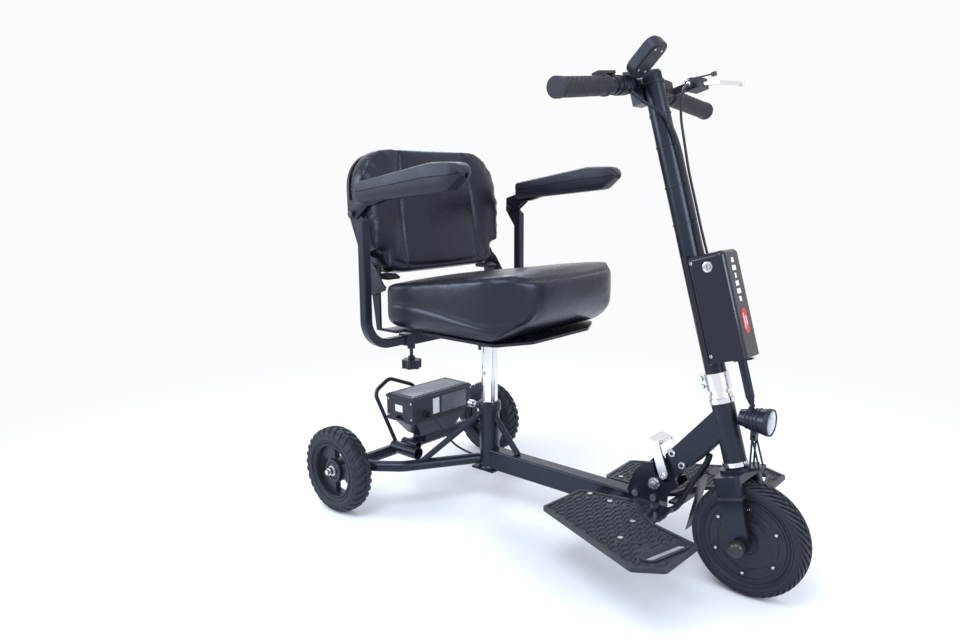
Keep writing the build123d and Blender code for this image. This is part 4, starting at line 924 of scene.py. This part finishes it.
def build_controls():
    """Trim of the bar, display, cap, brake lever and cables."""
    build_grips()
    ribs = bmesh.new()
    for index in range(30):
        turn = Matrix.Rotation(tau * index / 30, 4, "Z")
        slab(ribs, (16.6, 17.9), (-0.8, 0.8), (970.5, 984.5), turn, bevel=0.3)
    turned(ribs, [(12.5, 988), (12.5, 988.7), (11.6, 989), (8, 989)], steps=40)
    piece("cap_ribs", ribs, STEER, "column_cap", "black_plastic")
    build_display()
    bands = bmesh.new()
    for w in (905, 846, 770, 700):
        lathe(bands, [(18.9, w), (20.2, w + 0.3), (20.2, w + 3.2), (18.9, w + 3.5)], steps=48)
    piece("cable_bands", bands, STEER, "steering", "cable_jacket")
    metal = bmesh.new()
    for u, y in ((BAR_U + 62, 134), (BAR_U + 52, 104)):
        screw_head(metal, (u, y, BAR_W + (3 if y > 120 else 2.6)), (0, 0, 1), 3.6, 1.8)
    turned(metal, [(3.2, 0), (3.2, 7), (4.6, 7.4), (4.6, 14), (3.4, 15), (2, 15)],
           pointing((BAR_U + 58, 100, BAR_W - 9), (0, -1, 0.1)), 18)
    piece("brake_hardware", metal, STEER, "steering", "zinc")
    shade = bmesh.new()
    over_bell = pointing((BAR_U + 52, 112, BAR_W + 8.2), (0, 0, 1))
    turned(shade, [(5.3, 0), (5.3, 1.2), (3.4, 2.6), (1, 2.9)], over_bell, 20)
    piece("bell_button", shade, STEER, "bell", "polished")


def build_display():
    """Screen, buttons and screws of the display pod."""
    tilt = Matrix.Rotation(radians(-45), 4, "Y")
    at = ROW @ Matrix.Translation((station(657), -66, 967)) @ tilt
    screen = bmesh.new()
    prism(screen, rounded(44, 34, 6), 9.4, 10.5, bevel=0.3)
    piece("display_screen", screen, at, "steering", "gloss_black")
    keys = bmesh.new()
    for y in (-9, 9):
        turned(keys, [(4.2, 8.8), (4.2, 10.4), (3.4, 11), (1.2, 11.2)], Matrix.Translation((-29, y, 0)), 24)
    prism(keys, rounded(60, 36, 15), -11.2, -9.6, bevel=0.5)
    piece("display_trim", keys, at, "steering", "black_plastic")
    marks = bmesh.new()
    for index in range(5):
        slab(marks, (-14, -10 + index * 1.4), (-11 + index * 5, -8.6 + index * 5), (10.45, 10.62), bevel=0)
    piece("display_marks", marks, at, "steering", "label_grey")
    screws = bmesh.new()
    for x in (-22, 22):
        for y in (-11, 11):
            screw_head(screws, (x, y, -11.2), (0, 0, -1), 2.4, 1.2)
    piece("display_screws", screws, at, "steering", "zinc")


def rounded(length, width, corner, steps=6):
    """Outline of a rectangle with round corners."""
    points = []
    for index, (sx, sy) in enumerate(((1, 1), (-1, 1), (-1, -1), (1, -1))):
        for step in range(steps + 1):
            turn = pi / 2 * (index + step / steps)
            points.append((sx * (length / 2 - corner) + corner * cos(turn),
                    sy * (width / 2 - corner) + corner * sin(turn)))
    return points


def build_case():
    """Label bars, lock bezel and screws of the controller case."""
    upright = STEER @ Matrix.Translation((76, 0, 0)) @ Matrix.Rotation(pi / 2, 4, "Y")
    red, pale = bmesh.new(), bmesh.new()
    shift = Matrix.Translation((-508, -2, 0))
    prism(red, rounded(44, 22, 9), -0.3, 0.5, at=shift, bevel=0.2)
    for index, long in enumerate((9, 15, 6, 12, 15, 8)):
        start = -622 + index * 14
        slab(pale, (start, start + 9), (-2 - long / 2, -2 + long / 2), (-0.3, 0.45), bevel=0.2)
    slab(pale, (-522, -494), (-7.2, -4.6), (0.3, 0.75), bevel=0.1)
    slab(pale, (-516, -500), (0.6, 3.2), (0.3, 0.75), bevel=0.1)
    piece("case_label_bar", red, upright, "steering", "label_red")
    piece("case_label_marks", pale, upright, "steering", "label_white")
    bezel = bmesh.new()
    lathe(bezel, [(6.2, -2), (6.2, 2.6), (7.2, 3.2), (9.4, 2.4), (10.2, 0), (10.2, -2)],
          pointing((44, -35, 614), (0, -1, 0)), steps=40)
    for w in (456, 626):
        for side in (-1, 1):
            screw_head(bezel, (14, side * 35, w), (0, side, 0), 3.2, 1.4)
    piece("case_lock_bezel", bezel, STEER, "steering", "zinc")
    seam_line = bmesh.new()
    for side in (-1, 1):
        slab(seam_line, (12, 14), (side * 35.2 - 0.5, side * 35.2 + 0.5), (446, 636), bevel=0.2)
    slab(seam_line, (40, 74), (-6, 6), (437.5, 440.5), bevel=1)
    piece("case_joint", seam_line, STEER, "steering", "black_plastic")


def build_lamp():
    """Reflector, lamp chips, lens and rim of the headlight."""
    x = station(836) + 56
    at = place(Vector((x, 0, 332)) * MM, Y, Z, X)
    dish = bmesh.new()
    turned(dish, [(21.6, -5.95), (21.4, -2.6), (20, -3.0), (15, -4.4), (9, -5.3), (2, -5.6)], steps=64)
    piece("lamp_reflector", dish, at, "headlight", "polished")
    chips = bmesh.new()
    for index in range(4):
        turn = tau * (index + 0.5) / 4
        spot = Matrix.Translation((9 * cos(turn), 9 * sin(turn), 0))
        slab(chips, (-3.4, 3.4), (-3.4, 3.4), (-5.4, -4.0), spot, bevel=0.6)
    piece("lamp_chips", chips, at, "headlight", "label_white")
    glass = bmesh.new()
    turned(glass, [(21.7, -2.3), (21.7, -1.2), (19, -0.7), (8, -0.3), (1, -0.2)], steps=64)
    lens = piece("lamp_lens", glass, at, "headlight", "lens")
    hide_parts("headlight_lens")
    rim = bmesh.new()
    lathe(rim, [(21.9, -4), (21.9, 0.0), (23.4, 0.0), (24.9, -1.5), (24.9, -7.5), (24.2, -8)], steps=72)
    for back in (20, 27, 34, 41):
        outer = 24.5 - (back - 8) * 9.5 / 48
        lathe(rim, [(outer - 1.5, -back), (outer + 0.9, -back - 0.4), (outer + 0.9, -back - 2.4),
                (outer - 1.5, -back - 2.8)], steps=56)
    piece("lamp_rim", rim, at, "headlight", "black_plastic")
    socket_top = Vector((station(854), 0, 355)) * MM
    wire_start = STEER @ Vector((54, 0, 359))
    slack = (wire_start + socket_top) / 2 + Vector((4, 4, 0)) * MM
    points = [wire_start, STEER @ Vector((54, 0, 352)), slack, socket_top + Z * 4 * MM,
            socket_top - Z * 4 * MM]
    wire = bar_lead("lamp_wire", points, 2.2, Matrix(), None)
    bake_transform(wire)


def build_leads():
    """Loom across the folding joint, and the cables down the column."""
    centre = ((692, 110), (708, 114), (724, 132), (736, 158), (750, 186), (767, 212), (779, 236),
            (781, 248))
    route = [(station(x), 0, z) for x, z in centre]
    loom = bar_lead("loom_sleeve", route, 6, ROW, None)
    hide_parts("wiring_loom")
    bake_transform(loom)
    top = BAR_W
    brake = ((BAR_U + 58, 85, top - 9), (BAR_U + 57, 68, top - 14), (BAR_U + 60, 44, top - 36),
            (BAR_U + 58, 24, top - 74), (28, 14, top - 126), (26, 10, top - 180), (27, 9, top - 234),
            (26, 10, top - 288), (28, 9, 638))
    harness = ((BAR_U + 14, -56, top - 18), (BAR_U + 22, -44, top - 38), (BAR_U + 38, -26, top - 56),
            (22, -16, top - 84), (27, -8, top - 126), (25, -4, top - 180), (26, -5, top - 234),
            (25, -4, top - 288), (26, -5, 638))
    first = bar_lead("brake_cable", brake, 2.5, STEER, "steering")
    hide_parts("control_cables")
    bar_lead("control_harness", harness, 3.5, STEER, "steering")


# --- frame and battery trim ---


def build_frame_trim():
    """Bright bolts of the folding joint, the seat tube's collar and the fork's caps."""
    bolts = bmesh.new()
    for x, z in ((714, 239), (735, 220)):
        for side in (-1, 1):
            screw_head(bolts, (station(x), side * 17.7, z), (0, side, 0), 7.4, 4.6)
    piece("down_tube_bolts", bolts, ROW, "front_frame", "zinc")
    arm = bmesh.new()
    for side in (-1, 1):
        screw_head(arm, (station(702), side * 29.0, 194), (0, side, 0), 5.2, 2.6)
    slab(arm, (station(664), station(688)), (-24, 24), (255, 258.6), bevel=1.2)
    piece("latch_trim", arm, ROW, "latch", "polished")
    collar = bmesh.new()
    x = station(235)
    post = Matrix.Translation((x, 0, 0))
    lathe(collar, [(23.1, 228), (26.5, 228.6), (26.5, 247), (25.5, 248.5), (23.1, 248.8)], post, steps=56)
    lathe(collar, [(23.0, 90), (28, 90), (27, 92), (24.4, 96), (23.0, 97)], post, steps=48)
    piece("seat_tube_collar", collar, ROW, "rear_frame", "frame_paint")
    crown = bmesh.new()
    for side in (-1, 1):
        slab(crown, (-25.5, 23.5), (side * 43.5 - 10.5, side * 43.5 + 10.5), (198, 204), bevel=1.6)
        turned(crown, [(12, 0), (15.2, 1), (15.2, 9), (14, 13.5), (10.8, 17), (6, 19.2), (0.8, 20)],
               pointing((axle_spot()[0], side * 53, axle_spot()[1]), (0, side, 0)), 32)
    piece("fork_trim", crown, STEER, "steering", "black_steel")
    swivel = bmesh.new()
    lathe(swivel, [(21, 392), (34, 392.4), (34.6, 395), (33, 397.6), (21, 398)], post, steps=72)
    piece("swivel_flange", swivel, ROW, "seat", "black_steel")
    tabs = bmesh.new()
    for turn in (35, 150, 215, 325):
        spin = post @ Matrix.Rotation(radians(turn), 4, "Z")
        slab(tabs, (30, 42), (-4, 4), (388.6, 391.6), spin, bevel=0.8)
        turned(tabs, [(2.6, 384.6), (2.6, 399), (2, 399.6)], spin @ Matrix.Translation((37, 0, 0)), 16)
    piece("swivel_tabs", tabs, ROW, "seat", "chrome")


def axle_spot():
    """The front axle's place in the steering frame, as (forward, up)."""
    spot = STEER.inverted() @ Vector(JOINTS["front_wheel_spin"]["pos_m"])
    return spot.x, spot.z


def build_hinge_covers():
    """Moulded covers over the backrest's hinges."""
    bm = bmesh.new()
    outer = side_view(((44, 508), (40, 548), (52, 572), (66, 580), (82, 566), (100, 536), (112, 528),
            (108, 520), (70, 506)))
    for side in (-1, 1):
        y = -side * 205.6
        prism(bm, outer, min(y, y + side * 4.2), max(y, y + side * 4.2), bevel=1.2)
    piece("hinge_covers", bm, SIDE, "seat", "black_plastic")
    blocks = bmesh.new()
    foot = side_view(((58, 541), (54, 552), (88, 553), (103, 546), (99, 541)))
    for y in (168, -168):
        prism(blocks, foot, y - 17, y + 17, bevel=1.6)
    piece("hinge_feet", blocks, SIDE, "backrest", "black_plastic")


def build_battery():
    """Lid, labels, screws and front panel of the battery."""
    x0, x1, y1, z1 = station(-12), station(80), 102, 245
    lid = bmesh.new()
    slab(lid, (x0 - 2.2, x1 + 2.6), (-y1 - 2.4, y1 + 2.4), (z1 - 9, z1 - 2.5), bevel=1.6)
    slab(lid, (x0 + 2, x1 - 2), (-y1 + 2, y1 - 2), (z1 - 4, z1 + 0.5), bevel=1.2)
    slab(lid, (x0 - 1.4, x1 + 1.4), (-y1 - 1.2, y1 + 1.2), (183, 187), bevel=1.0)
    piece("battery_lid", lid, ROW, "battery", "battery_case")
    top = bmesh.new()
    slab(top, (x0 + 12, x1 - 12), (-y1 + 14, y1 - 14), (z1, z1 + 1.3), bevel=0.4)
    slab(top, (x1 - 0.2, x1 + 1.0), (-4, 84), (191, 234), bevel=0.4)
    piece("battery_panels", top, ROW, "battery", "label_grey")
    label = bmesh.new()
    slab(label, (x0 + 30, x0 + 56), (-y1 - 0.5, -y1 + 0.4), (205, 222), bevel=0.15)
    slab(label, (x1 - 0.2, x1 + 0.5), (-34, -12), (193, 232), bevel=0.15)
    piece("battery_labels", label, ROW, "battery", "label_white")
    screws = bmesh.new()
    for x in (x0 + 6, x1 - 6):
        for z in (192, 232):
            screw_head(screws, (x, -y1, z), (0, -1, 0), 2.8, 1.4)
            screw_head(screws, (x, y1, z), (0, 1, 0), 2.8, 1.4)
        for y in (-y1 + 7, y1 - 7):
            screw_head(screws, (x, y, z1 + 0.5), (0, 0, 1), 2.8, 1.2)
    piece("battery_screws", screws, ROW, "battery", "zinc")
    pads = bmesh.new()
    for y in (-70, 70):
        slab(pads, (station(6), station(62)), (y - 8, y + 8), (176.5, 179.4), bevel=0.8)
    piece("tray_pads", pads, ROW, "rear_frame", "cable_jacket")
    ring = bmesh.new()
    lathe(ring, [(6.8, 0.5), (6.8, 5), (8.6, 6), (10.6, 5), (10.6, 0.5)],
          pointing((x1, -58, 198), (1, 0, 0)), steps=32)
    piece("socket_ring", ring, ROW, "battery", "black_plastic")


# --- stage ---

PALE = (0.955, 0.968, 0.99)
FADE_START, FADE_END = 0.75, 1.9


def build_floor():
    """Wide pale floor that fades into the background colour away from the machine."""
    bm = bmesh.new()
    bmesh.ops.create_grid(bm, x_segments=8, y_segments=8, size=40)
    mesh = bpy.data.meshes.new("floor")
    bm.to_mesh(mesh)
    bm.free()
    floor = bpy.data.objects.new("floor", mesh)
    bpy.context.scene.collection.objects.link(floor)
    made = bpy.data.materials.new("floor")
    made.use_nodes = True
    tree = made.node_tree
    link = tree.links.new
    shader = tree.nodes["Principled BSDF"]
    shader.inputs["Base Color"].default_value = (0.8, 0.815, 0.87, 1)
    shader.inputs["Roughness"].default_value = 0.55
    glow = shader_node(tree, "ShaderNodeEmission", Color=(*PALE, 1))
    where = shader_node(tree, "ShaderNodeTexCoord")
    length = shader_node(tree, "ShaderNodeVectorMath")
    length.operation = "LENGTH"
    fade = shader_node(tree, "ShaderNodeMapRange", From_Min=FADE_START, From_Max=FADE_END)
    fade.interpolation_type = "SMOOTHSTEP"
    blend = shader_node(tree, "ShaderNodeMixShader")
    link(where.outputs["Object"], length.inputs[0])
    link(length.outputs["Value"], fade.inputs["Value"])
    link(fade.outputs["Result"], blend.inputs["Fac"])
    link(shader.outputs["BSDF"], blend.inputs[1])
    link(glow.outputs["Emission"], blend.inputs[2])
    link(blend.outputs["Shader"], tree.nodes["Material Output"].inputs["Surface"])
    mesh.materials.append(made)


def build_light():
    """Pale surroundings and three soft lamps."""
    world = bpy.data.worlds.new("surroundings")
    bpy.context.scene.world = world
    world.use_nodes = True
    background = world.node_tree.nodes["Background"]
    background.inputs["Color"].default_value = (*PALE, 1)
    background.inputs["Strength"].default_value = 1.0
    soft_lamp("key", (0.4, -1.6, 2.6), (0.0, 0.0, 0.4), 1.3, 42)
    soft_lamp("side", (2.4, -0.4, 1.5), (0.1, 0.0, 0.5), 1.1, 34)
    soft_lamp("rear", (-1.8, 1.6, 2.2), (0.0, 0.0, 0.4), 1.4, 24)
    soft_lamp("left", (-1.6, -1.9, 1.3), (0.0, 0.0, 0.5), 1.1, 34)


def soft_lamp(name, spot, target, size, power):
    """A square soft lamp that faces a point."""
    lamp = bpy.data.lights.new(name, "AREA")
    lamp.size = size
    lamp.energy = power
    lamp.color = (0.84, 0.91, 1.0)
    obj = bpy.data.objects.new(name, lamp)
    bpy.context.scene.collection.objects.link(obj)
    obj.location = spot
    obj.rotation_euler = (Vector(target) - Vector(spot)).to_track_quat("-Z", "Y").to_euler()


def build_camera():
    """Camera in front of the machine, on its right."""
    yaw, pitch, roll = 0.726239, 0.175687, -0.005267
    forward = Vector((-sin(yaw) * cos(pitch), cos(yaw) * cos(pitch), -sin(pitch)))
    right = Vector((cos(yaw), sin(yaw), 0))
    up = right.cross(forward)
    level_right = right * cos(roll) + up * sin(roll)
    level_up = up * cos(roll) - right * sin(roll)
    data = bpy.data.cameras.new("camera")
    data.lens = 28.105
    data.sensor_width = 36
    camera = bpy.data.objects.new("camera", data)
    bpy.context.scene.collection.objects.link(camera)
    matrix = Matrix((level_right, level_up, -forward)).transposed().to_4x4()
    matrix.translation = (0.9127, -1.2867, 0.7438)
    camera.matrix_world = matrix
    bpy.context.scene.camera = camera


build_camera()
build_floor()
build_light()
dress_nodes()
soften_edges(("main_beam", "down_tube", "hinge_plates", "controller_case", "battery_pack", "latch_lever",
        "footrest_left", "footrest_right", "fork", "hinge_knuckle", "battery_tray", "brake_mount",
        "throttle_body", "rear_rim_left", "rear_rim_right", "column_clamp", "seat_base"), 0.7)
build_wheels()
build_seat()
build_back()
for arm_side, arm_word in SIDES:
    build_arm(arm_side, arm_word)
build_footrests()
build_controls()
build_case()
build_lamp()
build_leads()
build_frame_trim()
build_hinge_covers()
build_battery()
bpy.context.scene.view_settings.view_transform = "Standard"
